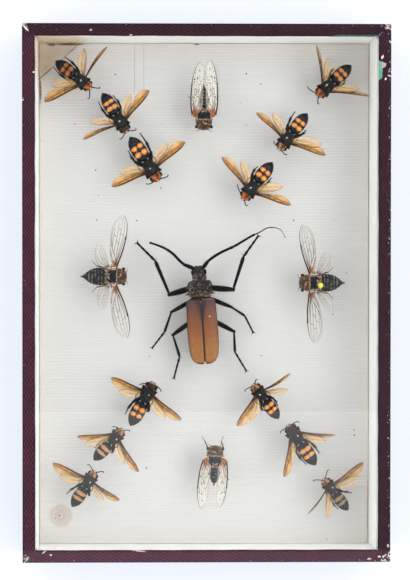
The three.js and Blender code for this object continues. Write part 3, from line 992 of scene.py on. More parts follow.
@dataclass(frozen=True)
class RibbedPaper(Finish):
    """White ribbed lining paper with a damp corner, a round stain, seams, and painted shade along its right
    and top edges.
    """

    colour: tuple = paint(224, 221, 219)
    yellowed: tuple = paint(222, 204, 176)
    tan: tuple = paint(204, 180, 150)
    tide: tuple = paint(112, 80, 50)
    rust: tuple = paint(176, 104, 58)
    ring: tuple = paint(196, 166, 148)
    half_width: float = 122.5
    half_length: float = 185.75
    ring_middle: Place = (-106.8, -164.8, 12.9)
    rings: tuple[Place, ...] = ((8.2, 2.6, 0.5), (4.6, 2.4, 0.55))
    tide_way: Point = (-0.6619, 0.7496)
    tide_reach: float = 200.3
    strokes: tuple[Mark, ...] = (
        Mark((-51.9, 164.0), (0.35, 24.0), 0, 0.3, 0.6), Mark((-45.0, 166.0), (0.35, 24.0), 0, 0.25, 0.6),
        Mark((121.9, -160.0), (0.5, 26.0), 0, 0.5, 1.2), Mark((122.3, 40.0), (0.4, 150.0), 0, 0.3, 1.0),
        Mark((-100.0, 184.9), (11.0, 1.0), 0, 0.9, 3.0), Mark((-113.0, 184.6), (3.0, 1.2), 0, 0.8, 3.0),
        Mark((-121.6, 150.0), (0.9, 9.0), 0, 0.8, 3.0), Mark((-5.8, 185.0), (2.4, 0.6), 0, 0.8, 2.5),
    )

    def recipe(self, sketch: Sketch, surface: Made) -> None:
        """Stains the paper from its edges in, and paints shade along its right and top edges."""
        place = sketch.object_place()
        x, y = sketch.split(place)[:2]
        tone = sketch.mottle(self.colour, place, 0.012, 1.2, 0.06)
        edge = sketch.least(self.half_width - abs(x), self.half_length - abs(y))
        wavy = edge + sketch.noise(place, 0.05) * 18.0
        old = sketch.step(wavy, 26.0, 8.0) * 0.16
        colour = sketch.mix(old, tone["Color"], self.yellowed)
        # Painted shade: a tan band along the right and top edges, where the floor meets the walls.
        shaded = sketch.least(self.half_width - x, self.half_length - y)
        painted_light_and_shade = sketch.step(shaded, 1.5, 0.0) * 0.4
        colour = sketch.mix(painted_light_and_shade, colour, self.tan)
        colour = self.damp_corner(sketch, place, x, y, colour)
        for radius, width, share in self.rings:
            stain = sketch.ring(place, self.ring_middle, radius, width)
            mask = stain["Band"] * share + stain["Inside"] * 0.2
            colour = sketch.mix(mask, colour, self.ring)
        for stroke in self.strokes:
            colour = stroke.lay(sketch, place, colour, self.tide)
        fibre = sketch.noise(place, 1.6, 4.0)
        surface.set(Base_Color=colour, Roughness=0.78, Specular_IOR_Level=0.25,
                    Normal=sketch.bump(fibre, 0.05, 0.5))

    def damp_corner(self, sketch: Sketch, place: Value, x: Value, y: Value, colour: Value) -> Value:
        """Lays the damp corner, which ends at a straight tide line."""
        reach = x * self.tide_way[0] + y * self.tide_way[1] - self.tide_reach
        ragged = (sketch.noise(place, 0.12, 4.0) - 0.5) * 4.0
        damp = sketch.step(reach + ragged, -3.0, 2.5)
        cloud = sketch.step(sketch.noise(place, 0.09, 4.0), 0.3, 0.7)
        deep = damp * (0.3 + cloud * 0.42)
        colour = sketch.mix(deep, colour, self.tan)
        off = abs(reach + ragged * 0.12)
        patchy = 0.35 + cloud * 0.5
        line = sketch.step(off, 0.75, 0.15) * patchy
        colour = sketch.mix(line, colour, self.tide)
        spots = sketch.flecks(place, 0.32, 0.34) * damp
        return sketch.mix(spots * 0.6, colour, self.rust)


@dataclass(frozen=True)
class Plain(Finish):
    """A matt board, paper or metal with mottling, fine grain and its own bump."""

    colour: tuple = (0.5, 0.5, 0.5, 1.0)
    roughness: float = 0.8
    metallic: float = 0.0
    patches: float = 0.08
    grains: float = 2.0
    depth: float = 0.2
    relief: float = 0.08
    coat: float = 0.0

    def recipe(self, sketch: Sketch, surface: Made) -> None:
        """Mottles the colour, and roughens the surface with the same grain."""
        place = sketch.object_place()
        tone = sketch.mottle(self.colour, place, self.patches, self.grains, self.depth)
        vary = (tone["Patch"] - 0.5) * 0.3
        rough = sketch.math("ADD", self.roughness, vary, clamp=True)
        surface.set(Base_Color=tone["Color"], Roughness=rough, Metallic=self.metallic,
                    Coat_Weight=self.coat, Normal=sketch.bump(tone["Grain"], self.relief, 0.7))


@dataclass(frozen=True)
class Granulated(Finish):
    """Pressed cork: packed granules of several browns with dark joints."""

    light: tuple = paint(196, 150, 100)
    dark: tuple = paint(120, 80, 46)
    joint: tuple = paint(70, 46, 28)
    granules: float = 0.55

    def recipe(self, sketch: Sketch, surface: Made) -> None:
        """Gives each granule its own brown."""
        place = sketch.object_place()
        cells = sketch.cells(place, self.granules)
        joints = sketch.cells(place, self.granules, feature="DISTANCE_TO_EDGE")
        own = sketch.split(cells["Color"])[0]
        colour = sketch.mix(own, self.dark, self.light)
        seam = sketch.step(joints["Distance"], 0.0, 0.07)
        colour = sketch.mix(seam, self.joint, colour)
        surface.set(Base_Color=colour, Roughness=0.88, Normal=sketch.bump(seam, 0.25, 0.8))


@dataclass(frozen=True)
class Pane(Finish):
    """Clear window glass, faintly dusty, which lets the lamps' light through."""

    tint: tuple = (0.985, 0.995, 0.985, 1.0)
    shadow: tuple = (0.97, 0.985, 0.975, 1.0)
    index: float = 1.5

    def recipe(self, sketch: Sketch, surface: Made) -> None:
        """Mixes in a clear shader for rays that look for a lamp."""
        place = sketch.object_place()
        smear = sketch.noise(place, 0.02, 4.0, 0.6)
        rough = sketch.step(smear, 0.55, 0.9) * 0.02
        surface.set(Base_Color=self.tint, Roughness=rough, IOR=self.index, Transmission_Weight=1.0)
        clear = sketch.node("ShaderNodeBsdfTransparent", {"Color": self.shadow})
        path = sketch.node("ShaderNodeLightPath")
        both = sketch.node("ShaderNodeMixShader", {0: path["Is Shadow Ray"], 1: surface[0], 2: clear[0]})
        Made(sketch, sketch.tree.nodes["Material Output"]).set(Surface=both[0])


@dataclass(frozen=True)
class Coat:
    """The colour and roughness of one part of an insect."""

    colour: tuple
    roughness: float = 0.4


@dataclass(frozen=True)
class Chitin(Finish):
    """An insect's shell, with a coat for each of its parts."""

    coats: dict[Part, Coat] = field(default_factory=dict)
    grain: float = 0.5
    relief: float = 0.06
    gloss: float = 0.24

    def base(self, sketch: Sketch) -> tuple[Value, Value]:
        """Picks the colour and roughness of the part that a point is on."""
        part = sketch.read(PART, "Fac")
        first = next(iter(self.coats.values()))
        colour: object = first.colour
        rough: object = first.roughness
        for kind, coat in list(self.coats.items())[1:]:
            here = sketch.on(part, kind)
            colour = sketch.mix(here, colour, coat.colour)
            change = coat.roughness - rough
            rough = sketch.math("MULTIPLY_ADD", here, change, rough)
        return colour, rough

    def marks(self, sketch: Sketch, colour: Value) -> Value:
        """Adds the species' own markings."""
        return colour

    def recipe(self, sketch: Sketch, surface: Made) -> None:
        """Lays the coats, then the markings, then a fine pitted grain."""
        own = sketch.read(PLACE, "Vector")
        colour, rough = self.base(sketch)
        colour = self.marks(sketch, colour)
        tone = sketch.mottle(colour, own, 0.45, 3.5, self.grain)
        pits = sketch.cells(own, 3.2)["Distance"]
        height = pits * 0.6 + tone["Grain"] * 0.6
        vary = (tone["Patch"] - 0.5) * 0.25
        surface.set(Base_Color=tone["Color"], Roughness=sketch.math("ADD", rough, vary, clamp=True),
                    Specular_IOR_Level=self.gloss, Normal=sketch.bump(height, self.relief, 0.8))


@dataclass(frozen=True)
class WaspChitin(Chitin):
    """Black, with four orange spots on the gaster that run into bands on some, and an orange head."""

    spot: tuple = paint(222, 128, 50)
    # Painted highlight in the middle of each spot.
    pale: tuple = paint(246, 192, 104)
    band: tuple = paint(196, 152, 112)
    tan: tuple = paint(158, 124, 88)
    rust: tuple = paint(128, 56, 34)
    faded: tuple = paint(196, 140, 92)
    umber: tuple = paint(66, 42, 32)
    brown: tuple = paint(34, 20, 16)
    # Painted sheen colour for the gaster.
    blue: tuple = paint(16, 30, 42)
    spots: tuple[tuple[Point, Point, float], ...] = (
        ((-10.5, 2.3), (1.85, 2.1), 1.6), ((-15.1, 2.2), (1.6, 2.05), 1.3),
    )
    half_band: float = 4.8

    def marks(self, sketch: Sketch, colour: Value) -> Value:
        """Paints the head by its own tone, then the spots or bands."""
        own = sketch.read(PLACE, "Vector")
        x, y, z = sketch.split(own)
        banded, head, pallor = sketch.split(sketch.read(TRAIT, "Vector"))
        part = sketch.read(PART, "Fac")
        on_head = sketch.on(part, Part.HEAD)
        on_gaster = sketch.on(part, Part.GASTER)
        aged = sketch.mix(sketch.math("MULTIPLY", head, 2.0, clamp=True), colour, self.faded)
        old = sketch.step(head, 0.5, 1.0)
        aged = sketch.mix(old * sketch.step(x, 9.6, 8.6), aged, self.umber)
        dusky = sketch.step(sketch.noise(own, 0.5, 3.0), 0.48, 0.55)
        nape = sketch.step(sketch.math("MULTIPLY_ADD", dusky, -0.8, x), 6.2, 5.3)
        dark = sketch.most(dusky * 0.9, nape)
        aged = sketch.mix(dark, aged, self.brown)
        colour = sketch.mix(on_head, colour, aged)
        # Painted sheen: blue patches on the gaster stand in for its bluish gloss.
        gloss = on_gaster * sketch.step(sketch.noise(own, 0.2), 0.4, 0.7)
        colour = sketch.mix(gloss, colour, self.blue)
        wide = abs(y)
        ragged = (sketch.noise(own, 0.7) - 0.5) * 0.9
        reaches = []
        for middle, size, band in self.spots:
            spot = sketch.oval(x, wide, middle, size)
            strip = sketch.oval(x, wide, (middle[0], 0.0), (band, self.half_band))
            reaches.append(sketch.math("MULTIPLY_ADD", banded, strip - spot, spot) + ragged)
        reach = sketch.least(*reaches)
        # Painted highlight: each spot turns paler yellow towards its middle.
        lit = sketch.mix(sketch.step(reach, 0.8, 0.2), self.spot, self.pale)
        lit = sketch.mix(sketch.math("MULTIPLY", banded, 0.8, clamp=True), lit, self.band)
        lit = sketch.mix(sketch.most(pallor, 0.0), lit, self.tan)
        lit = sketch.mix(sketch.math("MULTIPLY", pallor, -1.0, clamp=True), lit, self.rust)
        mask = sketch.step(reach, 1.08, 0.92) * on_gaster
        above = mask * sketch.step(z, -2.2, -1.2)
        return sketch.mix(above, colour, lit)


@dataclass(frozen=True)
class CicadaChitin(Chitin):
    """Mottled brown head and thorax, a blue-black shield and a ringed grey gaster."""

    rust: tuple = paint(138, 88, 58)
    soot: tuple = paint(24, 20, 20)
    cream: tuple = paint(222, 196, 170)
    gold: tuple = paint(196, 156, 104)
    ring: tuple = paint(128, 124, 118)
    ring_pitch: float = CICADA_RING

    def marks(self, sketch: Sketch, colour: Value) -> Value:
        """Mottles the front, and rings the gaster's hind margins."""
        own = sketch.read(PLACE, "Vector")
        x, y = sketch.split(own)[:2]
        part = sketch.read(PART, "Fac")
        on_body = sketch.on(part, Part.HEAD) + sketch.on(part, Part.THORAX)
        front = on_body * sketch.step(x, 3.0, 4.0)
        rusty = sketch.step(sketch.noise(own, 0.42, 4.0), 0.46, 0.54) * front
        colour = sketch.mix(rusty * 0.6, colour, self.rust)
        golden = sketch.noise(sketch.stretch(own, turn=75.0), 0.6, 4.0)
        golden = sketch.step(golden, 0.51, 0.57) * front
        colour = sketch.mix(golden * 0.7, colour, self.gold)
        hard = sketch.math("GREATER_THAN", part, float(Part.VEIN.value) + 0.5)
        rough_edge = sketch.on(part, Part.COLLAR) * hard
        worn = sketch.step(sketch.noise(own, 0.9, 3.0), 0.52, 0.6) * rough_edge
        colour = sketch.mix(worn, colour, self.cream)
        margin = sketch.step(abs(y), 4.4, 5.0) * sketch.on(part, Part.SHIELD)
        colour = sketch.mix(margin * 0.8, colour, self.cream)
        smutty = sketch.math("ADD", front, hard * 0.7, clamp=True)
        smuts = sketch.noise(sketch.stretch(own, turn=40.0), 0.55, 4.0)
        soot = sketch.step(smuts, 0.47, 0.54) * smutty
        colour = sketch.mix(soot * 0.9, colour, self.soot)
        phase = sketch.math("FRACT", x / self.ring_pitch)
        rings = sketch.step(phase, 0.4, 0.15) * sketch.on(part, Part.GASTER)
        patchy = rings * sketch.step(sketch.noise(own, 0.45), 0.42, 0.58)
        return sketch.mix(patchy * 0.8, colour, self.ring)


@dataclass(frozen=True)
class BeetleChitin(Chitin):
    """Black legs, and a head and pronotum mottled dark and grey."""

    dark: tuple = paint(10, 9, 10)
    grey: tuple = paint(138, 128, 120)
    rust: tuple = paint(140, 92, 52)

    def marks(self, sketch: Sketch, colour: Value) -> Value:
        """Lays grey patches, a dark disc and dark pits, and rusty specks by the collar."""
        own = sketch.read(PLACE, "Vector")
        x, y = sketch.split(own)[:2]
        part = sketch.read(PART, "Fac")
        front = sketch.on(part, Part.HEAD) + sketch.on(part, Part.THORAX)
        disc = sketch.step(sketch.oval(x, y, (7.5, 0.0), (5.0, 6.5)), 1.1, 0.5)
        brow = sketch.step(x, 16.5, 18.5)
        middle = sketch.step(abs(y), 1.6, 0.6) * sketch.step(x, 10.0, 12.0)
        black = sketch.most(sketch.most(disc, brow), middle)
        worn = sketch.math("MULTIPLY_ADD", black, -0.09, sketch.noise(own, 0.5, 4.0))
        worn = sketch.step(worn, 0.47, 0.56) * front
        colour = sketch.mix(worn * 0.75, colour, self.grey)
        pits = sketch.step(sketch.noise(sketch.stretch(own, turn=30.0), 0.8, 3.0), 0.5, 0.56)
        colour = sketch.mix(pits * front * 0.9, colour, self.dark)
        nape = sketch.step(x, 3.4, 1.6) * front
        specks = sketch.step(sketch.noise(own, 1.1, 3.0), 0.52, 0.58) * nape
        return sketch.mix(specks * 0.8, colour, self.rust)


@dataclass(frozen=True)
class WingCase(Finish):
    """A beetle's wing case: maroon at the shoulder, orange brown at the tip, dark-edged."""

    shoulder: tuple = paint(84, 48, 44)
    middle: tuple = paint(130, 72, 37)
    tip: tuple = paint(156, 98, 43)
    rim: tuple = paint(34, 16, 14)
    grey: tuple = paint(40, 28, 30)
    scuff: tuple = paint(150, 120, 116)
    gilt: tuple = paint(176, 122, 58)

    def recipe(self, sketch: Sketch, surface: Made) -> None:
        """Grades the colour from shoulder to tip. A place is (X, share from seam to rim, side)."""
        own = sketch.read(PLACE, "Vector")
        x, share = sketch.split(own)[:2]
        streak = sketch.noise(sketch.stretch(own, (0.12, 9.0, 1.0)), 1.0, 4.0)
        far = (streak - 0.5) * 9.0 - x
        colour = sketch.mix(sketch.step(far, 2.0, 20.0), self.shoulder, self.middle)
        colour = sketch.mix(sketch.step(far, 18.0, 44.0), colour, self.tip)
        front = sketch.step(x, -3.4, -1.2) * 0.8
        colour = sketch.mix(front, colour, self.grey)
        narrow = share + far * 0.016
        colour = sketch.mix(sketch.step(narrow, 0.46, 0.2) * 0.95, colour, self.grey)
        pale = sketch.step(sketch.noise(own, 0.5, 3.0), 0.46, 0.58) * front
        colour = sketch.mix(pale * 0.8, colour, self.scuff)
        grit = sketch.node("ShaderNodeTexCoord")["Object"]
        gilt = sketch.step(sketch.noise(grit, 0.9 / MM, 3.0), 0.53, 0.62)
        colour = sketch.mix(gilt * sketch.step(far, 20.0, 42.0), colour, self.gilt)
        edge = sketch.most(sketch.step(share, 0.05, 0.02), sketch.step(share, 0.9, 0.965))
        end = sketch.step(x, -47.6, -48.8)
        colour = sketch.mix(sketch.most(edge, end), colour, self.rim)
        tone = sketch.mottle(colour, own, 0.3, 4.0, 0.22)
        pits = sketch.cells(grit, 2.2 / MM)["Distance"]
        rough = 0.4 + tone["Patch"] * 0.15
        surface.set(Base_Color=tone["Color"], Roughness=rough, Normal=sketch.bump(pits, 0.07, 0.6))


@dataclass(frozen=True)
class AmberMembrane(Finish):
    """A wasp's smoky amber wing. A place is (share of span, share of chord, kind of wing)."""

    costa: tuple = paint(92, 46, 16)
    gold: tuple = paint(236, 160, 44)
    buff: tuple = paint(234, 184, 98)
    smoke: tuple = paint(122, 68, 26)
    straw: tuple = paint(208, 166, 92)

    def recipe(self, sketch: Sketch, surface: Made) -> None:
        """Darkens the leading edge and the tip, and streaks the field along the span."""
        own = sketch.read(PLACE, "Vector")
        span, chord, hind = sketch.split(own)
        streak = sketch.noise(sketch.stretch(own, (1.8, 9.0, 1.0)), 1.0, 3.0, 0.6, 0.6)
        colour = sketch.mix(sketch.step(chord, 0.1, 0.75), self.gold, self.buff)
        colour = sketch.mix(sketch.step(streak, 0.47, 0.55) * 0.7, colour, self.smoke)
        tip = sketch.step(span, 0.72, 1.0) * 0.6
        colour = sketch.mix(tip, colour, self.smoke)
        colour = sketch.mix(hind * 0.75, colour, self.straw)
        edge = sketch.step(chord, 0.2, 0.06) * (1.0 - hind * 0.6)
        colour = sketch.mix(edge, colour, self.costa)
        thin = sketch.step(chord, 0.3, 1.0) * 0.22
        body = 0.72 - thin - hind * 0.32
        alpha = edge * 0.3 + body
        alpha = sketch.math("MULTIPLY_ADD", streak - 0.5, 0.5, alpha, clamp=True)
        surface.set(Base_Color=colour, Alpha=alpha, Roughness=0.3, Specular_IOR_Level=0.5,
                    Normal=sketch.bump(streak, 0.12, 0.8))


@dataclass(frozen=True)
class ClearMembrane(Finish):
    """A cicada's glassy wing, tawny at its root."""

    film: tuple = paint(196, 184, 156)
    # Painted sheen: the near-white film colour of folded wings.
    painted_sheen: tuple = paint(250, 242, 224)
    root: tuple = paint(168, 100, 50)
    dot: tuple = paint(70, 60, 50)
    veil: float = 0.04

    def recipe(self, sketch: Sketch, surface: Made) -> None:
        """Keeps the film nearly clear past the root."""
        own = sketch.read(PLACE, "Vector")
        span = sketch.split(own)[0]
        dense = sketch.split(sketch.read(TRAIT, "Vector"))[0]
        cloud = sketch.noise(sketch.stretch(own, (5.0, 3.0, 1.0)), 1.0, 3.0)
        smoky = sketch.step(cloud, 0.5, 0.6) * (dense * 0.45)
        near = sketch.step(span, 0.15, 0.04)
        # Folded wings take the painted sheen colour for their whitish sheen.
        colour = sketch.mix(smoky, sketch.mix(dense, self.film, self.painted_sheen), self.dot)
        colour = sketch.mix(near, colour, self.root)
        spots = sketch.cells(sketch.stretch(own, (17.0, 5.0, 1.0)), 1.0, 0.9)["Distance"]
        dotted = sketch.step(spots, 0.36, 0.24) * dense * sketch.step(cloud, 0.4, 0.5)
        colour = sketch.mix(dotted, colour, self.dot)
        alpha = sketch.math("MULTIPLY_ADD", cloud, 0.04, self.veil - 0.02)
        alpha = sketch.math("MULTIPLY_ADD", dense, 0.11, alpha)
        alpha = sketch.math("MULTIPLY_ADD", dotted, 0.5, alpha)
        alpha = sketch.math("MULTIPLY_ADD", near, 0.42, alpha, clamp=True)
        surface.set(Base_Color=colour, Alpha=alpha, Roughness=0.2, Specular_IOR_Level=0.3,
                    Normal=sketch.bump(cloud, 0.1, 0.5))


@dataclass(frozen=True)
class TableTop(Finish):
    """A pale matt table that glows faintly."""

    colour: tuple = (0.42, 0.43, 0.46, 1)
    glow: tuple = (0.9, 0.94, 1.0, 1)
    glow_strength: float = 0.58

    def recipe(self, sketch: Sketch, surface: Made) -> None:
        """Sets the surface's own values."""
        surface.set(Base_Color=self.colour, Roughness=0.9, Specular_IOR_Level=0.1,
                    Emission_Color=self.glow, Emission_Strength=self.glow_strength)


class Finishes:
    """Every material of the drawer, made once."""

    def __init__(self) -> None:
        """Builds the materials."""
        self.leatherette = Leatherette("maroon leatherette").make()
        self.wall_paper = WallPaper("cream wall paper").make()
        self.ribbed_paper = RibbedPaper("ribbed white paper").make()
        self.cork = Granulated("pressed cork").make()
        self.board = Plain("grey board", paint(150, 138, 118), 0.85).make()
        self.bottom = Plain("brown bottom paper", paint(128, 98, 70), 0.8, depth=0.3).make()
        self.pane = Pane("window glass").make()
        # Near black, as painted shade for the inside of each pin hole.
        self.prick = Plain("pin prick", paint(34, 28, 24), 0.9, depth=0.5).make()
        self.torn = Plain("torn paper", paint(182, 152, 150), 0.9, grains=1.2, depth=0.4, relief=0.2).make()
        self.tape = Plain("green binding tape", paint(84, 150, 122), 0.6, patches=0.12, depth=0.7).make()
        # A darker copy of the green tape, as painted shade.
        self.shaded_tape = Plain("darkened green tape", paint(34, 84, 70), 0.6, patches=0.1, depth=0.8).make()
        self.steel = Plain("pin steel", paint(196, 192, 182), 0.28, 1.0, depth=0.25, relief=0.02).make()
        self.ball = Plain("yellow pin head", paint(242, 226, 40), 0.25, depth=0.08, relief=0.02,
                          coat=0.5).make()
        self.wasp = WaspChitin("wasp chitin", coats={
            Part.LIMB: Coat(paint(7, 6, 7), 0.38),
            Part.THORAX: Coat(paint(27, 27, 28), 0.45),
            Part.GASTER: Coat(paint(6, 6, 9), 0.2),
            Part.HEAD: Coat(paint(206, 112, 50), 0.42),
            Part.EYE: Coat(paint(26, 16, 14), 0.2),
            Part.HAIR: Coat(paint(44, 40, 38), 0.5),
            Part.VEIN: Coat(paint(66, 32, 12), 0.4),
            Part.WING_ROOT: Coat(paint(64, 34, 24), 0.35),
        }, grain=0.9, relief=0.1).make()
        self.amber = AmberMembrane("amber wing").make()
        self.cicada = CicadaChitin("cicada chitin", coats={
            Part.LIMB: Coat(paint(40, 20, 14), 0.45),
            Part.THORAX: Coat(paint(84, 64, 46), 0.45),
            Part.GASTER: Coat(paint(22, 22, 26), 0.26),
            Part.HEAD: Coat(paint(84, 66, 48), 0.4),
            Part.EYE: Coat(paint(48, 26, 20), 0.2),
            Part.HAIR: Coat(paint(158, 148, 130), 0.6),
            Part.VEIN: Coat(paint(100, 58, 32), 0.45),
            Part.COLLAR: Coat(paint(158, 112, 84), 0.45),
            Part.SHIELD: Coat(paint(10, 22, 36), 0.2),
            Part.WING_ROOT: Coat(paint(164, 94, 42), 0.35),
        }, grain=1.3, relief=0.14).make()
        self.clear = ClearMembrane("clear wing").make()
        self.beetle = BeetleChitin("beetle chitin", coats={
            Part.LIMB: Coat(paint(6, 3, 4), 0.3),
            Part.THORAX: Coat(paint(56, 48, 47), 0.38),
            Part.GASTER: Coat(paint(40, 26, 20), 0.5),
            Part.HEAD: Coat(paint(64, 56, 52), 0.42),
            Part.EYE: Coat(paint(20, 17, 16), 0.25),
            Part.COLLAR: Coat(paint(48, 34, 28), 0.6),
            Part.HAIR: Coat(paint(92, 74, 56), 0.6),
            Part.VEIN: Coat(paint(96, 52, 36), 0.4),
        }, grain=1.5, relief=0.4, gloss=0.14).make()
        self.wing_case = WingCase("wing case").make()


# The box and its lid


def box_mm(node: str) -> tuple[Array, Array]:
    """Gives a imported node's lowest and highest corners in millimetres."""
    low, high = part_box(node)
    return np.array(low) / MM, np.array(high) / MM


def eased_box(name: str, low: Array, high: Array, ease: float,
              finish: Material) -> Thing:
    """Makes a board with eased edges.

    Args:
        name: The object's name.
        low: Its lowest corner in millimetres.
        high: Its highest corner.
        ease: The radius of its edges.
        finish: Its material.

    Returns:
        The board.
    """
    work = bmesh.new()
    bmesh.ops.create_cube(work, size=1.0)
    bmesh.ops.scale(work, vec=Vector(high - low), verts=work.verts)
    bmesh.ops.translate(work, vec=Vector((high + low) / 2), verts=work.verts)
    bmesh.ops.bevel(work, geom=list(work.edges), offset=ease, segments=3, profile=0.5, affect="EDGES")
    bmesh.ops.recalc_face_normals(work, faces=work.faces)
    mesh = bpy.data.meshes.new(name)
    work.to_mesh(mesh)
    work.free()
    mesh.transform(Matrix.Scale(MM, 4))
    mesh.materials.append(finish)
    return show(name, mesh)


@dataclass
class Carcass:
    """The lower box: bottom, walls, leatherette band, papered lip, cork and floor paper."""

    finishes: Finishes
    ease: float = 0.7
    band_corner: float = 1.4
    rib_pitch: float = 2.2
    rib_height: float = 0.2
    prick_radius: float = 0.62
    prick_height: float = 0.16
    stride: float = 6.0
    pricks: tuple[Point, ...] = (
        (-66.0, 162.6), (-31.8, 125.8), (-80.8, 91.7), (-31.4, 163.6), (-32.3, 78.6), (-78.7, 73.0),
        (-5.8, 185.4), (-95.9, 126.1), (31.2, 163.6), (42.0, 155.6), (26.7, 141.9), (31.2, 125.5),
        (86.5, 111.5), (112.3, 111.1), (112.3, 106.7), (66.8, 91.3), (74.8, 73.6), (-79.9, 54.8),
        (-50.2, 54.3), (96.2, 54.6), (105.9, 15.9), (95.7, -15.2), (66.4, 54.6), (-40.7, -46.6),
        (42.5, -45.8), (111.7, -101.5), (112.0, -105.1), (-43.1, -129.3), (91.4, -182.8),
        (120.5, -183.6), (-107.7, -164.6), (-110.9, -166.8),
    )

    def build(self) -> None:
        """Builds and dresses every piece of the lower box."""
        self.dress("pinning_sheet", self.finishes.cork)
        for side in ("left", "right", "top", "foot"):
            self.dress(f"base_wall_{side}", self.finishes.board)
            self.paper(f"lip_{side}", self.finishes.wall_paper, Slot.WHITE_PAPER)
        self.paper("bottom_board", self.finishes.bottom, Slot.BOTTOM_PAPER)
        settle(self.band(), Slot.LEATHERETTE, "base_covering")
        settle(self.floor(), Slot.RIBBED_PAPER, "floor_paper")
        settle(self.floor_pricks(), Slot.RIBBED_PAPER)

    def paper(self, node: str, finish: Material, slot: Slot) -> None:
        """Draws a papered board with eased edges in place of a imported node."""
        settle(eased_box(f"{node}_papered", *box_mm(node), self.ease, finish), slot, node)

    @staticmethod
    def dress(node: str, finish: Material) -> None:
        """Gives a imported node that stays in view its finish."""
        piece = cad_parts[node]
        piece.data.materials.clear()
        piece.data.materials.append(finish)
        log.info("%s: dressed in %s", node, finish.name)

    def band(self) -> Thing:
        """Wraps the leatherette band round the walls, with its hems and corners rounded."""
        low, high = box_mm("base_covering")
        thick, hem = 0.5, 0.22
        heights = np.linspace(low[2] + hem, high[2] - hem, 12)
        outer = [(hem, low[2]), (0.06, low[2] + 0.1), *((0.0, z) for z in heights),
                 (0.06, high[2] - 0.1), (hem, high[2])]
        inner = [(thick, high[2] - 0.1), *((thick, z) for z in heights[::-3]), (thick, low[2] + 0.1)]
        section = np.array(outer + inner)
        path, normals, walked = self.round_the_walls(low, high)
        rings = np.stack([
            path[:, None, 0] - normals[:, None, 0] * section[None, :, 0],
            path[:, None, 1] - normals[:, None, 1] * section[None, :, 0],
            np.broadcast_to(section[None, :, 1], (len(path), len(section))),
        ], axis=-1)
        wobble = unevenness(rings, 0.05, 3.0) * 0.05
        rings[..., :2] -= normals[:, None, :] * np.abs(wobble)[..., None]
        reach = lengths(section)
        place = np.stack(np.broadcast_arrays(walked[:, None], reach[None, :], 0.0), axis=-1)
        shells = Shells(self.finishes.leatherette)
        shells.add(rings, place=place, looped=True)
        return shells.build("base_band_leatherette")

    def round_the_walls(self, low: Array, high: Array) -> tuple[Array, Array, Array]:
        """Walks once round the box.

        Args:
            low: The band's lowest corner.
            high: Its highest corner.

        Returns:
            The points of the way, the outward direction at each, and how far each is along it.
        """
        radius = self.band_corner
        corners = [(high[0], high[1], 0), (low[0], high[1], 90),
                   (low[0], low[1], 180), (high[0], low[1], 270)]
        turns, points = [], []
        for x, y, start in corners:
            middle = np.array([x - radius * np.sign(x), y - radius * np.sign(y)])
            for degrees in np.linspace(start, start + 90, 8):
                way = np.array([math.cos(math.radians(degrees)), math.sin(math.radians(degrees))])
                turns.append(way)
                points.append(middle + way * radius)
        path, normals = [], []
        for i, point in enumerate(points):
            after = points[(i + 1) % len(points)]
            pieces = max(1, round(float(np.linalg.norm(after - point)) / self.stride))
            for step in range(pieces):
                path.append(along(point, after, step / pieces))
                normals.append(turns[i])
        path = np.array(path)
        return path, np.array(normals), lengths(path)

    def floor(self) -> Thing:
        """Makes the lining paper and lays its ribs."""
        low, high = box_mm("floor_paper")
        sheet = eased_box("floor_paper_ribbed", low, high, 0.2, self.finishes.ribbed_paper)
        room = high[1] - low[1]
        count = int(room / self.rib_pitch)
        first = (0.0, (low[1] + (room - (count - 1) * self.rib_pitch) / 2) * MM, high[2] * MM)
        grow(sheet, rib_tree(), {
            "Count": count, "Pitch": self.rib_pitch * MM, "Width": (high[0] - low[0] - 1.0) * MM,
            "Height": self.rib_height * MM, "First": first, "Finish": self.finishes.ribbed_paper})
        return sheet

    def floor_pricks(self) -> Thing:
        """Marks where pins stood before, with small craters coloured as painted shade for the holes."""
        top = box_mm("floor_paper")[1][2] + self.rib_height * 0.5
        mesh = bpy.data.meshes.new("floor_pin_pricks")
        mesh.from_pydata([(x * MM, y * MM, top * MM) for x, y in self.pricks], [], [])
        piece = show("floor_pin_pricks", mesh)
        grow(piece, prick_tree(), {
            "Radius": self.prick_radius * MM, "Height": self.prick_height * MM, "Seed": 4,
            "Finish": self.finishes.prick})
        return piece


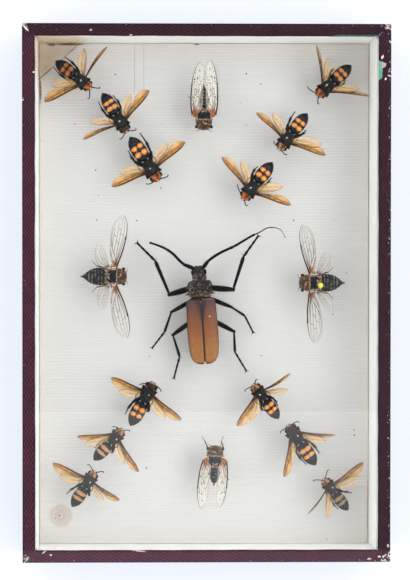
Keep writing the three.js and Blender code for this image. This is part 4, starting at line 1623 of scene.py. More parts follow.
@dataclass
class Lid:
    """The glazed lid: board walls, a pane, and mitred leatherette that folds over both."""

    finishes: Finishes
    thick: float = 0.5
    round_over: float = 1.2
    stations: int = 260
    tear: tuple[float, float] = (154.6, 168.0)
    tear_depth: float = 2.7
    notch: tuple[float, float] = (162.4, 168.6)
    notch_depth: float = 4.2
    short_from: float = 88.0
    short_depth: float = 1.1

    def build(self) -> None:
        """Builds and dresses every piece of the lid."""
        Carcass.dress("glass_pane", self.finishes.pane)
        for number, side in enumerate(("right", "top", "left", "foot")):
            Carcass.dress(f"lid_wall_{side}", self.finishes.board)
            strip = self.strip(side, number * 90.0)
            settle(strip, Slot.LEATHERETTE, f"lid_covering_{side}")
        settle(self.bared_paper(), Slot.LEATHERETTE)

    def section(self, low: Array, high: Array, across: float) -> Array:
        """Draws the strip's section.

        Args:
            low: The covering's lowest corner.
            high: Its highest corner.
            across: How far the flange reaches in over the glass.

        Returns:
            Points of (distance in from the outer face, height), once round.
        """
        top, foot, thick, radius = high[2], low[2], self.thick, self.round_over
        skirt = np.linspace(foot + 0.25, top - radius, 10)
        bend = np.radians(np.linspace(180, 90, 7))
        over = [(radius + radius * math.cos(a), top - radius + radius * math.sin(a)) for a in bend[1:]]
        under = [(radius + (radius - thick) * math.cos(a), top - radius + (radius - thick) * math.sin(a))
                 for a in bend[::-1]]
        flange = np.linspace(radius + 0.6, across - 0.2, 9)
        outline = [(0.15, foot), *((0.0, z) for z in skirt), *over, *((d, top) for d in flange),
                   (across - 0.04, top - 0.08), (across, top - thick / 2), (across - 0.1, top - thick),
                   *((d, top - thick) for d in flange[::-3]), *under,
                   *((thick, z) for z in skirt[::-3]), (thick - 0.1, foot)]
        return np.array(outline)

    def strip(self, side: str, turn: float) -> Thing:
        """Makes one mitred strip of leatherette.

        Args:
            side: Which side of the lid it covers.
            turn: How far that side is turned from the right one, in degrees.

        Returns:
            The strip.
        """
        low, high = box_mm(f"lid_covering_{side}")
        upright = side in ("left", "right")
        outer = max(abs(low[0]), abs(high[0])) if upright else max(abs(low[1]), abs(high[1]))
        half = (high[1] - low[1]) / 2 if upright else (high[0] - low[0]) / 2
        across = (high[0] - low[0]) if upright else (high[1] - low[1])
        section = self.section(low, high, across)
        share = np.linspace(-1, 1, self.stations)[:, None]
        length = half - section[None, :, 0]
        distance = np.broadcast_to(section[None, :, 0], (self.stations, len(section))).copy()
        height = np.broadcast_to(section[None, :, 1], distance.shape).copy()
        run = share * length
        if side in ("right", "top"):
            missing = self.torn_away(run) if side == "right" else self.cut_short(run)
            distance -= missing * np.clip((distance - 3.0) / (across - 3.0), 0, 1)
        rings = np.stack([outer - distance, run, height], axis=-1)
        lift = unevenness(rings, 0.06, turn)
        edge = np.clip((distance - across + 2.0) / 2.0, 0, 1)
        rings[..., 0] += edge * lift * 0.25
        rings[..., 2] -= 0.05 * np.abs(unevenness(rings, 0.12, 7.0 + turn))
        reach = lengths(section)
        place = np.stack(np.broadcast_arrays(run + turn * 7.0, reach[None, :], 0.0), axis=-1)
        shells = Shells(self.finishes.leatherette)
        shells.add(rings, place=place, flat_ends=True)
        return shells.build(f"lid_leatherette_{side}", Matrix.Rotation(math.radians(turn), 4, "Z"))

    def torn_away(self, run: Array) -> Array:
        """Gives how far the right flange is torn back along its run."""
        def ramp(value: Array, soft: float) -> Array:
            """Rises from 0 to 1 over a soft distance."""
            return np.clip(value / soft, 0, 1)

        jagged = 1 + 0.4 * bumps(run, 0 * run, 0 * run, 0.6, 5.0)
        strip = self.tear_depth * ramp(run - self.tear[0], 0.7) * ramp(self.tear[1] - run, 0.7)
        middle, half = sum(self.notch) / 2, (self.notch[1] - self.notch[0]) / 2
        wedge = self.notch_depth * np.clip(1 - np.abs(run - middle) / half, 0, 1)
        return strip * jagged + wedge

    def cut_short(self, run: Array) -> Array:
        """Gives how far the top flange stops short of the glass edge near its right end.

        The top strip is drawn turned, so its run goes from right to left.
        """
        jagged = 1 + 0.15 * bumps(run, 0 * run, 0 * run, 0.3, 8.0)
        return self.short_depth * np.clip((-run - self.short_from) / 6.0, 0, 1) * jagged

    def bared_paper(self) -> Thing:
        """Makes what shows where the leatherette is torn or short: paper core and green tape."""
        low, high = box_mm("lid_covering_right")
        inner, top = low[0], high[2]
        head = box_mm("lid_covering_top")[0][1]
        shells = Shells(self.finishes.torn, self.finishes.tape, self.finishes.shaded_tape)
        run = np.linspace(self.notch[0] - 0.6, self.notch[1] + 0.6, 16)
        ragged = bumps(run, 0 * run, 0 * run, 0.5, 9.0)
        core = inner + 7.4 + ragged * 0.5
        shells.add(self.patch(inner + 2.3 + 0 * run, core, run, top - 0.45, top - 0.16), flat_ends=True)
        run = np.linspace(self.tear[0] - 0.4, self.tear[1] + 0.3, 24)
        wavy = 0.12 * bumps(run, 0 * run, 0 * run, 0.4, 2.0)
        shells.add(self.patch(inner + 0.2 + wavy, inner + 3.2 + wavy, run, top - 0.49, top - 0.26),
                   slot=1, flat_ends=True)
        # Painted shade: the tape bared under the short top flange takes the darker copy.
        run = np.linspace(self.short_from, inner + 0.3, 40)
        wavy = 0.12 * bumps(run, 0 * run, 0 * run, 0.3, 4.0)
        strip = self.patch(head - 0.1 + wavy, head + 2.4 + wavy, run, top - 0.49, top - 0.28)
        shells.add(strip[..., [1, 0, 2]], slot=2, flat_ends=True)
        return shells.build("lid_bared_paper", smooth=False)

    @staticmethod
    def patch(near: Array, far: Array, run: Array, foot: float, top: float) -> Array:
        """Lays the rings of a flat strip of paper between two edges."""
        corners = ((near, foot), (near, top), (far, top), (far, foot))
        return np.stack([np.stack([edge, run, np.full(len(run), z)], -1) for edge, z in corners], 1)


# The insects


@dataclass(frozen=True)
class WingPlan:
    """A wing's outline: how far its edges stand off the line from root to tip, as shares of the span."""

    lead: tuple[float, ...]
    trail: tuple[float, ...]
    thickness: float = 0.12
    pleats: float = 0.1
    folds: float = 5.0
    camber: float = 0.8
    rounding: float = 0.18

    def edges(self, span: Array) -> tuple[Array, Array]:
        """Gives both edges' shares at each share of the span, rounded off at the tip."""
        keys = np.linspace(0, 1, len(self.lead))
        start = 1 - self.rounding
        fall = np.sqrt(np.clip(1 - (np.clip(span - start, 0, 1) / self.rounding) ** 2, 0.0, 1))
        return np.interp(span, keys, self.lead) * fall, np.interp(span, keys, self.trail) * fall


WASP_FORE = WingPlan(lead=(0.03, 0.03, 0.03, 0.035, 0.045, 0.055, 0.06, 0.065, 0.065, 0.06, 0.05),
                     trail=(0.03, 0.05, 0.075, 0.1, 0.13, 0.155, 0.175, 0.185, 0.185, 0.165, 0.12),
                     rounding=0.26)
WASP_HIND = WingPlan(lead=(0.04, 0.06, 0.08, 0.1, 0.11, 0.12, 0.125, 0.12, 0.11, 0.1, 0.08),
                     trail=(0.05, 0.12, 0.18, 0.22, 0.24, 0.24, 0.23, 0.21, 0.18, 0.14, 0.1),
                     pleats=0.12, camber=0.5, rounding=0.3)
CICADA_FORE = WingPlan(lead=(0.03, 0.05, 0.075, 0.095, 0.11, 0.12, 0.125, 0.122, 0.112, 0.09, 0.06),
                       trail=(0.04, 0.09, 0.125, 0.145, 0.155, 0.165, 0.17, 0.165, 0.15, 0.12, 0.08),
                       pleats=0.12, folds=3.0, camber=1.2)
CICADA_FOLDED = WingPlan(lead=(0.05, 0.08, 0.1, 0.11, 0.115, 0.12, 0.12, 0.115, 0.1, 0.08, 0.05),
                         trail=(0.05, 0.14, 0.165, 0.165, 0.155, 0.15, 0.145, 0.14, 0.125, 0.1, 0.06),
                         pleats=0.1, folds=2.0, camber=0.6)
CICADA_HIND = WingPlan(lead=(0.03, 0.06, 0.09, 0.11, 0.12, 0.125, 0.125, 0.12, 0.11, 0.09, 0.06),
                       trail=(0.1, 0.22, 0.3, 0.34, 0.35, 0.34, 0.31, 0.27, 0.22, 0.17, 0.1),
                       pleats=0.2, folds=4.0, camber=0.6)

WASP_VEINS = (
    ((0.02, 0.35), (0.25, 0.22), (0.5, 0.14), (0.72, 0.1)),
    ((0.03, 0.6), (0.25, 0.5), (0.48, 0.44), (0.66, 0.42)),
    ((0.03, 0.8), (0.2, 0.8), (0.38, 0.82)),
    ((0.3, 0.48), (0.4, 0.62), (0.5, 0.66), (0.62, 0.6)),
    ((0.5, 0.14), (0.56, 0.3), (0.64, 0.42)),
    ((0.38, 0.2), (0.41, 0.34), (0.42, 0.46)),
    ((0.72, 0.1), (0.78, 0.2), (0.76, 0.32), (0.66, 0.42)),
)
WASP_HIND_VEINS = (
    ((0.03, 0.3), (0.3, 0.2), (0.6, 0.14)),
    ((0.04, 0.55), (0.3, 0.5), (0.55, 0.5)),
)
CICADA_VEINS = (
    ((0.02, 0.3), (0.16, 0.2), (0.34, 0.15), (0.5, 0.1), (0.6, 0.03)),
    ((0.12, 0.24), (0.3, 0.27), (0.48, 0.22), (0.66, 0.18), (0.84, 0.2), (0.97, 0.3)),
    ((0.1, 0.3), (0.26, 0.42), (0.42, 0.42), (0.58, 0.4), (0.76, 0.38), (0.93, 0.42)),
    ((0.1, 0.34), (0.2, 0.6), (0.34, 0.66), (0.5, 0.6), (0.66, 0.58), (0.84, 0.6)),
    ((0.2, 0.6), (0.32, 0.82), (0.46, 0.84), (0.6, 0.8), (0.72, 0.8)),
    ((0.03, 0.6), (0.14, 0.85), (0.3, 0.95)),
    ((0.42, 0.42), (0.46, 0.52), (0.5, 0.6)),
    ((0.6, 0.2), (0.62, 0.3), (0.64, 0.4)),
    ((0.7, 0.38), (0.71, 0.48), (0.72, 0.58)),
    ((0.56, 0.6), (0.58, 0.7), (0.6, 0.8)),
    ((0.36, 0.88), (0.5, 0.93), (0.66, 0.93), (0.8, 0.88), (0.9, 0.74), (0.95, 0.5)),
)
CICADA_HIND_VEINS = (
    ((0.03, 0.2), (0.3, 0.14), (0.6, 0.1), (0.9, 0.14)),
    ((0.04, 0.3), (0.35, 0.3), (0.65, 0.32), (0.9, 0.4)),
    ((0.04, 0.4), (0.3, 0.48), (0.55, 0.52), (0.8, 0.6)),
    ((0.05, 0.55), (0.25, 0.7), (0.45, 0.8), (0.6, 0.86)),
    ((0.35, 0.3), (0.4, 0.4), (0.44, 0.5)),
)
ROOT_TO_TIP = tuple((s, 0.0) for s in (0.0, 0.2, 0.4, 0.6, 0.8, 0.92, 0.985))
TRAILING_EDGE = tuple((s, 1.0) for s in (0.05, 0.2, 0.4, 0.6, 0.8, 0.92, 0.985))


class Wing:
    """One wing, laid out from its root to its tip."""

    def __init__(self, plan: WingPlan, root: Place, tip: Place, side: int, roll: float = 0.0,
                 hind: bool = False) -> None:
        """Sets up the wing's own directions.

        Args:
            plan: Its outline.
            root: Where it leaves the body.
            tip: Where it ends.
            side: LEFT or RIGHT.
            roll: How far its trailing edge is turned down, in degrees.
            hind: True for a hind wing.
        """
        self.plan, self.hind = plan, hind
        self.root = np.array(root, float)
        line = np.array(tip, float) - self.root
        self.span = float(np.linalg.norm(line))
        self.line = line / self.span
        lead = np.array([self.line[1] * side, -self.line[0] * side, 0.0])
        lead /= np.linalg.norm(lead)
        up = np.array([0.0, 0.0, 1.0])
        angle = math.radians(roll)
        self.back = -lead * math.cos(angle) - up * math.sin(angle)
        self.rise = up * math.cos(angle) - lead * math.sin(angle)

    def at(self, span: Array, chord: Array, lift: float | Array = 0.0) -> Array:
        """Gives points on the wing.

        Args:
            span: Their shares of the way from root to tip.
            chord: Their shares of the way from leading to trailing edge.
            lift: How far they lie above the membrane's middle.

        Returns:
            The points.
        """
        lead, trail = self.plan.edges(span)
        back = (-lead + (lead + trail) * chord) * self.span
        fold = self.plan.pleats * np.sin(chord * self.plan.folds * 2 * np.pi)
        fold = fold * np.sin(np.pi * np.clip(span, 0, 1))
        bow = self.plan.camber * (np.sin(np.pi * span) - 0.6 * span)
        height = lift + fold + bow
        return (self.root + self.line * (span * self.span)[..., None] + self.back * back[..., None]
                + self.rise * height[..., None])

    def membrane(self, shells: Shells, slot: int, stations: int = 30, cells: int = 14) -> None:
        """Adds the membrane, thick enough to be a closed shell."""
        step = np.linspace(0, 1, stations)
        span = np.sin(step * np.pi / 2) * 0.999
        chord = np.linspace(0, 1, cells)
        around = np.concatenate([chord, chord[::-1]])
        shape = np.sqrt(np.clip(1 - (2 * around - 1) ** 4, 0.02, 1))
        sign = np.concatenate([np.ones(cells), -np.ones(cells)])
        s, c = np.meshgrid(span, around, indexing="ij")
        rings = self.at(s, c, self.plan.thickness / 2 * (sign * shape)[None, :])
        place = np.stack([s, c, np.full_like(s, float(self.hind))], axis=-1)
        shells.add(rings, Part.MEMBRANE, slot, place=place)

    def veins(self, wires: Wires, lines: Sequence, thick: float, points: int = 12) -> None:
        """Adds veins that follow lines of (share of span, share of chord)."""
        for line in lines:
            way = spline(line, points)
            span, chord = np.clip(way[:, 0], 0, 1), np.clip(way[:, 1], 0, 1)
            near, far = thick * (1.1 - 0.5 * span[0]), thick * (1.1 - 0.8 * span[-1])
            wires.add(self.at(span, chord, 0.03), near, far)


def leg(shells: Shells, joints: Sequence[Place], radii: Place, toes: int = 4, spines: int = 4,
        hair: float = 0.0) -> None:
    """Adds a leg: thigh, shin and a foot of small joints with two claws.

    Args:
        shells: Where it goes.
        joints: The hip, knee, ankle and claw.
        radii: The thigh's, shin's and foot's radius.
        toes: The joints in the foot.
        spines: The spines along the shin.
        hair: How hairy it is.
    """
    hip, knee, ankle, claw = (np.array(j, float) for j in joints)
    thigh, shin, foot = radii
    shells.add(bead_rings(hip, (thigh * 1.5, thigh * 1.4, thigh * 1.3)), hair=hair)
    shells.add(spindle_rings(hip, knee, thigh, thigh * 0.78, thigh * 0.32), hair=hair)
    shells.add(bead_rings(knee, (thigh * 0.86, thigh * 0.86, thigh * 0.86), 7, 10))
    shells.add(spindle_rings(knee, ankle, shin * 0.72, shin * 1.12, 0.0), hair=hair)
    way = (ankle - knee) / np.linalg.norm(ankle - knee)
    out = np.cross(way, (0.0, 0.0, 1.0))
    for i in range(spines):
        start = along(knee, ankle, 0.4 + 0.6 * (i + 1) / spines)
        for sign in SIDES:
            end = start + (way * 0.9 + out * sign * 0.9) * shin * (1.4 + 0.5 * (i + 1 == spines))
            shells.add(spindle_rings(start, end, shin * 0.28, shin * 0.06, sides=5))
    for i in range(toes):
        start, end = along(ankle, claw, i / toes), along(ankle, claw, (i + 1.05) / toes)
        shells.add(spindle_rings(start, end, foot * 0.7, foot * (1.25 - 0.1 * i), sides=8), hair=hair)
    toe = (claw - ankle) / np.linalg.norm(claw - ankle)
    side = np.cross(toe, (0.0, 0.0, 1.0))
    for sign in SIDES:
        hook = [claw, claw + (toe * 0.9 + side * sign * 1.3) * foot,
                claw + (toe * 1.3 + side * sign * 2.3) * foot]
        hook[2][2] -= foot
        path = spline(hook, 6)
        shells.add(tube_rings(path, np.linspace(foot * 0.5, foot * 0.16, 6), 6))


@dataclass(frozen=True)
class Pose:
    """The way that a head points, in degrees from +X, and where the pin stands in the own frame."""

    heading: float
    pin: Point


@dataclass
class Specimen:
    """An insect on its pin. The own frame is in millimetres, +X to the head, from the thorax."""

    name: str
    finishes: Finishes
    pose: Pose | WaspPose | CicadaPose | None = None
    seed: int = 0
    pin_height: float = 30.0

    def stand(self) -> Matrix:
        """Gives the matrix from the own frame to the drawer's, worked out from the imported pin."""
        low, high = box_mm(f"pin_{self.name}")
        turn = Matrix.Rotation(math.radians(self.pose.heading), 4, "Z")
        pin = turn @ Vector((*self.pose.pin, 0.0))
        middle = (low + high) / 2
        return Matrix.Translation((middle[0] - pin.x, middle[1] - pin.y, self.pin_height)) @ turn

    def coat(self, body: Thing, density: float, length: float, radius: float,
             finish: Material, seed: int) -> Thing:
        """Grows hairs on a body.

        Args:
            body: The body.
            density: The hairs on a square millimetre of the hairiest part.
            length: Their length in millimetres.
            radius: Their radius at the root.
            finish: Their material.
            seed: Which scatter it is.

        Returns:
            The hairs as a piece of their own.
        """
        piece = show(body.name + "_hairs", body.data.copy())
        back = Matrix.Rotation(math.radians(self.pose.heading), 4, "Z") @ Vector((-0.8, 0.0, 0.0))
        grow(piece, coat_tree(), {
            "Density": density / MM**2, "Length": length * MM, "Radius": radius * MM,
            "Lean": tuple(back), "Seed": seed, "Finish": finish})
        return piece


@dataclass(frozen=True)
class WaspPose:
    """How one wasp was set: places are in its own frame, left one first.

    Banded is how far its spots run into bands, and pallor is from -1 for rust to 1 for tan.
    """

    heading: float
    length: float
    fore: Pair
    hind: Pair
    roll: tuple[float, float]
    feelers: Pair
    feet: Pair
    head: HeadTone = HeadTone.ORANGE
    banded: float = 0.0
    pallor: float = 0.0
    pin: Point = (1.5, -1.0)


@dataclass
class Wasp(Specimen):
    """A mammoth wasp with spread wings, drawn for a length of 31 mm."""

    drawn_length: float = 31.0

    def build(self) -> Thing:
        """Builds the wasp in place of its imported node."""
        trait = (float(self.pose.banded), self.pose.head.value, self.pose.pallor)
        shells = Shells(self.finishes.wasp, self.finishes.amber)
        wires = Wires()
        self.head(shells)
        self.thorax(shells)
        self.gaster(shells)
        for number, side in enumerate(SIDES):
            self.legs(shells, number, side)
            self.feeler(shells, number, side)
        self.scale_up(shells)
        for number, side in enumerate(SIDES):
            self.wings(shells, wires, number, side)
        at = self.stand()
        body = shells.build(f"{self.name}_specimen", at, trait)
        veins = wires.build(f"{self.name}_veins", at, self.finishes.wasp, Part.VEIN, trait)
        hairs = self.coat(body, density=3.4, length=1.0, radius=0.055, finish=self.finishes.wasp,
                          seed=10 + self.seed)
        return join(body, veins, hairs)

    def scale_up(self, shells: Shells) -> None:
        """Scales what is drawn so far to the pose's length, and keeps the places that finishes read."""
        scale = self.pose.length / self.drawn_length
        shells.points = [points * scale for points in shells.points]

    def head(self, shells: Shells) -> None:
        """Adds the head with its eyes, jaws and simple eyes."""
        stations = ((9.9, 0.6, 0.5, 0.8, -0.8), (9.6, 2.1, 1.3, 1.7, -0.6), (8.9, 3.3, 2.1, 2.4, -0.3),
                    (7.8, 4.0, 2.6, 2.8, -0.1), (6.7, 4.1, 2.7, 2.8, 0.0), (5.8, 3.5, 2.4, 2.5, 0.1),
                    (5.2, 2.0, 1.5, 1.6, 0.1), (4.7, 1.1, 0.9, 0.9, 0.1))

        def face(x: Array, y: Array, z: Array) -> Array:
            """Furrows the brow between the feelers."""
            return -0.3 * groove(y, 0.0, 0.4) * groove(x, 8.9, 0.9) * (z > 0)

        shells.add(loft_rings(stations, 30, 32, face), Part.HEAD, hair=0.5)
        for side in SIDES:
            shells.add(bead_rings((7.2, side * 3.55, 0.1), (1.7, 1.0, 2.0)), Part.EYE)
            shells.add(bead_rings((6.5, side * 0.8, 2.6), (0.3, 0.3, 0.26), 6, 8), Part.EYE)
            jaw = [(9.0, side * 1.7, -1.9), (10.0, side * 1.5, -2.3), (10.7, side * 0.3, -2.5)]
            shells.add(tube_rings(spline(jaw, 8), np.linspace(0.55, 0.14, 8), 8))
        shells.add(bead_rings((7.2, 0.0, 2.65), (0.3, 0.3, 0.26), 6, 8), Part.EYE)

    def thorax(self, shells: Shells) -> None:
        """Adds the furry thorax with its furrows, and the scales over the wing roots."""
        stations = ((5.7, 0.8, 0.8, 0.8, 0.0), (5.3, 2.3, 1.8, 1.9, 0.0), (4.6, 3.3, 2.6, 2.8, 0.1),
                    (3.4, 4.0, 3.1, 3.4, 0.2), (2.0, 4.35, 3.4, 3.7, 0.2), (0.4, 4.4, 3.5, 3.7, 0.2),
                    (-1.2, 4.2, 3.4, 3.5, 0.1), (-2.6, 3.8, 3.1, 3.2, 0.0), (-3.8, 3.1, 2.6, 2.6, -0.2),
                    (-4.7, 2.0, 1.7, 1.7, -0.4), (-5.2, 1.0, 0.9, 0.9, -0.5))

        def furrows(x: Array, y: Array, z: Array) -> Array:
            """Cuts the furrows between the plates of the back."""
            back = z > 0
            cut = 0.3 * groove(x, 3.9, 0.16) + 0.34 * groove(x, -0.9, 0.18) + 0.3 * groove(x, -2.7, 0.16)
            lines = 0.16 * groove(np.abs(y), 1.5, 0.2) * ((x > -0.6) & (x < 3.6))
            swell = 0.28 * groove(x, -1.8, 0.7) * groove(y, 0.0, 1.6)
            return (swell - cut - lines) * back + 0.06 * bumps(x, y, z, 1.4)

        shells.add(loft_rings(stations, 64, 44, furrows), Part.THORAX, hair=1.0)
        for side in SIDES:
            shells.add(bead_rings((2.1, side * 4.15, 1.2), (1.15, 0.75, 0.6)), Part.WING_ROOT)
            shells.add(bead_rings((0.9, side * 3.9, 0.7), (1.2, 0.8, 0.9)), Part.WING_ROOT, hair=0.6)

    def gaster(self, shells: Shells) -> None:
        """Adds the glossy gaster, whose plates lap over each other."""
        stations = ((-4.8, 0.7, 0.7, 0.7, -0.6), (-5.4, 1.6, 1.4, 1.4, -0.6), (-6.2, 3.1, 2.4, 2.3, -0.6),
                    (-7.6, 4.2, 3.1, 2.9, -0.6), (-9.6, 4.85, 3.6, 3.2, -0.7), (-12.0, 5.1, 3.8, 3.3, -0.8),
                    (-14.6, 5.05, 3.7, 3.2, -0.9), (-17.2, 4.7, 3.4, 3.0, -1.1),
                    (-19.4, 3.95, 2.9, 2.6, -1.4), (-21.2, 2.95, 2.2, 2.1, -1.7),
                    (-22.6, 1.8, 1.4, 1.4, -2.1), (-23.6, 0.6, 0.5, 0.5, -2.4))
        edges = (-8.6, -12.7, -17.0, -19.6, -21.6)

        def plates(x: Array, y: Array, z: Array) -> Array:
            """Steps down behind each plate's hind edge."""
            step = sum(0.2 * (0.5 + 0.5 * np.tanh((x - edge) / 0.07)) * np.exp(-np.clip(x - edge, 0, 9) / 1.1)
                       for edge in edges)
            return step - 0.1

        shells.add(loft_rings(stations, 130, 44, plates), Part.GASTER, hair=0.14)
        shells.add(spindle_rings((-23.3, 0, -2.4), (-24.6, 0, -2.8), 0.28, 0.05, sides=6))

    def legs(self, shells: Shells, number: int, side: int) -> None:
        """Adds the three legs of one side: two folded under, and the hind one along the gaster."""
        foot = self.pose.feet[number]
        scale = self.drawn_length / self.pose.length
        toe = np.array([foot[0] * scale, foot[1] * scale])
        ankle = along((-8.4, side * 6.1), toe, 0.5) + (0.0, side * 0.5)
        leg(shells, ((3.6, side * 2.4, -2.4), (5.0, side * 5.0, -1.2), (2.9, side * 4.6, -3.6),
                     (0.6, side * 3.4, -5.0)), (0.95, 0.65, 0.34), hair=0.8)
        leg(shells, ((0.2, side * 2.8, -2.8), (-0.9, side * 5.5, -3.0), (-3.8, side * 6.3, -4.6),
                     (-6.4, side * 5.4, -6.4)), (1.0, 0.65, 0.34), hair=0.8)
        leg(shells, ((-3.2, side * 2.6, -1.6), (-8.0, side * 6.0, -1.3), (*ankle, -2.4), (*toe, -3.6)),
            (1.2, 0.85, 0.42), spines=5, hair=0.8)

    def feeler(self, shells: Shells, number: int, side: int) -> None:
        """Adds one feeler of thick short joints, hooked at its end."""
        tip = self.pose.feelers[number]
        scale = self.drawn_length / self.pose.length
        root = np.array([9.2, side * 1.1, 0.2])
        end = np.array([tip[0] * scale, tip[1] * scale, 0.8])
        elbow = along(root, end, 0.3) + (0.25, -side * 0.5, 0.7)
        middle = along(root, end, 0.72) + (0.5, -side * 0.3, 0.8)
        hook = end + (-0.9, side * 0.5, -0.5)
        path = spline((root, elbow, middle, end, hook), 44)
        joints = 0.38 + 0.06 * np.sin(np.linspace(0, 24 * np.pi, 44))
        shells.add(tube_rings(path, joints * np.linspace(1.15, 0.85, 44), 8), Part.LIMB)

    def wings(self, shells: Shells, wires: Wires, number: int, side: int) -> None:
        """Adds the two wings of one side, and their veins."""
        scale = self.pose.length / self.drawn_length
        fore_tip, hind_tip = self.pose.fore[number], self.pose.hind[number]
        roll = self.pose.roll[number]
        fore = Wing(WASP_FORE, (1.9 * scale, side * 3.9 * scale, 1.4), (*fore_tip, 3.0), side, roll)
        hind = Wing(WASP_HIND, (0.0, side * 3.9 * scale, 0.9), (*hind_tip, 0.9), side, roll * 0.4,
                    hind=True)
        fore.membrane(shells, 1)
        hind.membrane(shells, 1, 24, 12)
        fore.veins(wires, WASP_VEINS, 0.3)
        fore.veins(wires, (ROOT_TO_TIP,), 0.36, 16)
        hind.veins(wires, WASP_HIND_VEINS, 0.15)
        hind.veins(wires, (ROOT_TO_TIP,), 0.17, 14)


WASP_POSES = (
    WaspPose(-38, 30, ((0.3, 31.3), (-10.9, -28.9)), ((-12.4, 19.8), (-14.2, -16.3)), (66, 14),
             ((14.9, 4.2), (13.3, -6.7)), ((-19.0, 6.6), (-21.0, -4.6)), pallor=-0.7),
    WaspPose(-58, 31, ((-7.3, 30.0), (-2.5, -30.3)), ((-12.2, 16.7), (-10.2, -19.0)), (10, 55),
             ((12.2, 6.4), (12.2, -6.6)), ((-18.0, 5.9), (-19.9, -5.8)), HeadTone.BROWN, 0.35),
    WaspPose(-57, 35, ((-1.5, 31.6), (-3.4, -31.3)), ((-7.8, 20.8), (-8.7, -20.9)), (4, 12),
             ((12.5, 7.6), (9.5, -8.1)), ((-24.7, 7.9), (-18.5, -6.5))),
    WaspPose(-138, 31, ((-18.2, 25.6), (-14.1, -27.8)), ((-16.2, 16.8), (-14.4, -15.3)), (62, 64),
             ((13.8, 4.8), (11.5, -9.1)), ((-13.0, 5.6), (-12.5, -6.6)), banded=0.2, pallor=-0.35),
    WaspPose(-128, 31, ((-7.5, 29.4), (-0.5, -29.7)), ((-11.7, 23.0), (-8.2, -20.5)), (30, 38),
             ((10.3, 6.3), (8.5, -6.2)), ((-13.2, 6.8), (-19.0, -7.8)), HeadTone.TAN, 0.15),
    WaspPose(-129, 32, ((-8.4, 30.1), (-3.7, -31.4)), ((-15.6, 17.0), (-11.0, -18.6)), (30, 26),
             ((12.6, 5.0), (5.4, -9.2)), ((-15.0, 6.4), (-15.0, -6.6))),
    WaspPose(62, 33, ((-0.7, 29.2), (-3.9, -30.9)), ((-6.7, 19.8), (-8.7, -20.2)), (8, 30),
             ((5.5, 7.6), (8.3, -7.6)), ((-19.1, 7.3), (-10.5, -5.2)), HeadTone.BROWN, 0.0, -0.1),
    WaspPose(47, 28.5, ((-17.4, 20.9), (-5.6, -29.6)), ((-17.0, 13.0), (-9.0, -17.9)), (46, 38),
             ((6.4, 6.4), (12.2, -4.0)), ((-14.3, 5.5), (-9.0, -5.2)), HeadTone.TAN, 0.9, 0.35),
    WaspPose(57, 28.5, ((-2.4, 29.6), (1.4, -26.5)), ((-7.8, 20.0), (-5.3, -16.6)), (12, 34),
             ((11.1, 7.0), (12.6, -5.3)), ((-15.8, 8.5), (-8.0, -5.4)), HeadTone.TAN, 0.8, 0.4),
    WaspPose(127, 29, ((-7.5, 27.9), (-0.4, -26.5)), ((-11.1, 17.9), (-9.2, -17.9)), (8, 60),
             ((9.7, 7.6), (11.2, -4.2)), ((-10.9, 5.0), (-13.9, -5.3)), HeadTone.TAN, 0.2, pin=(1.5, 1.0)),
    WaspPose(125, 33, ((-18.8, 24.2), (-15.3, -24.2)), ((-12.0, 14.0), (-14.9, -16.3)), (36, 62),
             ((10.1, 7.3), (9.0, -7.4)), ((-20.7, 5.4), (-19.5, -7.2)), HeadTone.BROWN, 0.4),
    WaspPose(128, 27, ((-4.4, 25.7), (0.8, -30.6)), ((-15.6, 14.8), (-6.3, -22.0)), (70, 24),
             ((12.8, 6.5), (12.3, -6.7)), ((-15.5, 5.2), (-12.2, -9.8)), HeadTone.TAN, 1.0, 1.0),
)


@dataclass(frozen=True)
class CicadaPose:
    """How one cicada was set: places are in its own frame, left one first."""

    heading: float
    fore: Pair
    hind: Pair
    folded: bool = False
    fore_feet: Pair | None = None
    slimness: Point = (1.0, 1.0)
    pin: Point = (-3.0, 2.0)


CICADA_POSES = {
    "top": CicadaPose(-90, ((-39.8, 4.6), (-38.2, -3.1)), ((-24.0, 5.0), (-23.0, -4.6)), True,
                      slimness=(1.0, 0.62)),
    "left": CicadaPose(0, ((8.9, 45.3), (11.0, -46.0)), ((-9.0, 24.5), (-6.0, -25.0))),
    "right": CicadaPose(180, ((-0.3, 44.3), (8.7, -43.2)), ((-12.0, 22.0), (-8.5, -24.0))),
    "foot": CicadaPose(88, ((-35.0, 9.2), (-33.6, -4.8)), ((-23.0, 8.0), (-22.0, -6.0)), True,
                       ((17.3, 9.8), (17.7, -5.8)), (0.8, 0.66)),
}


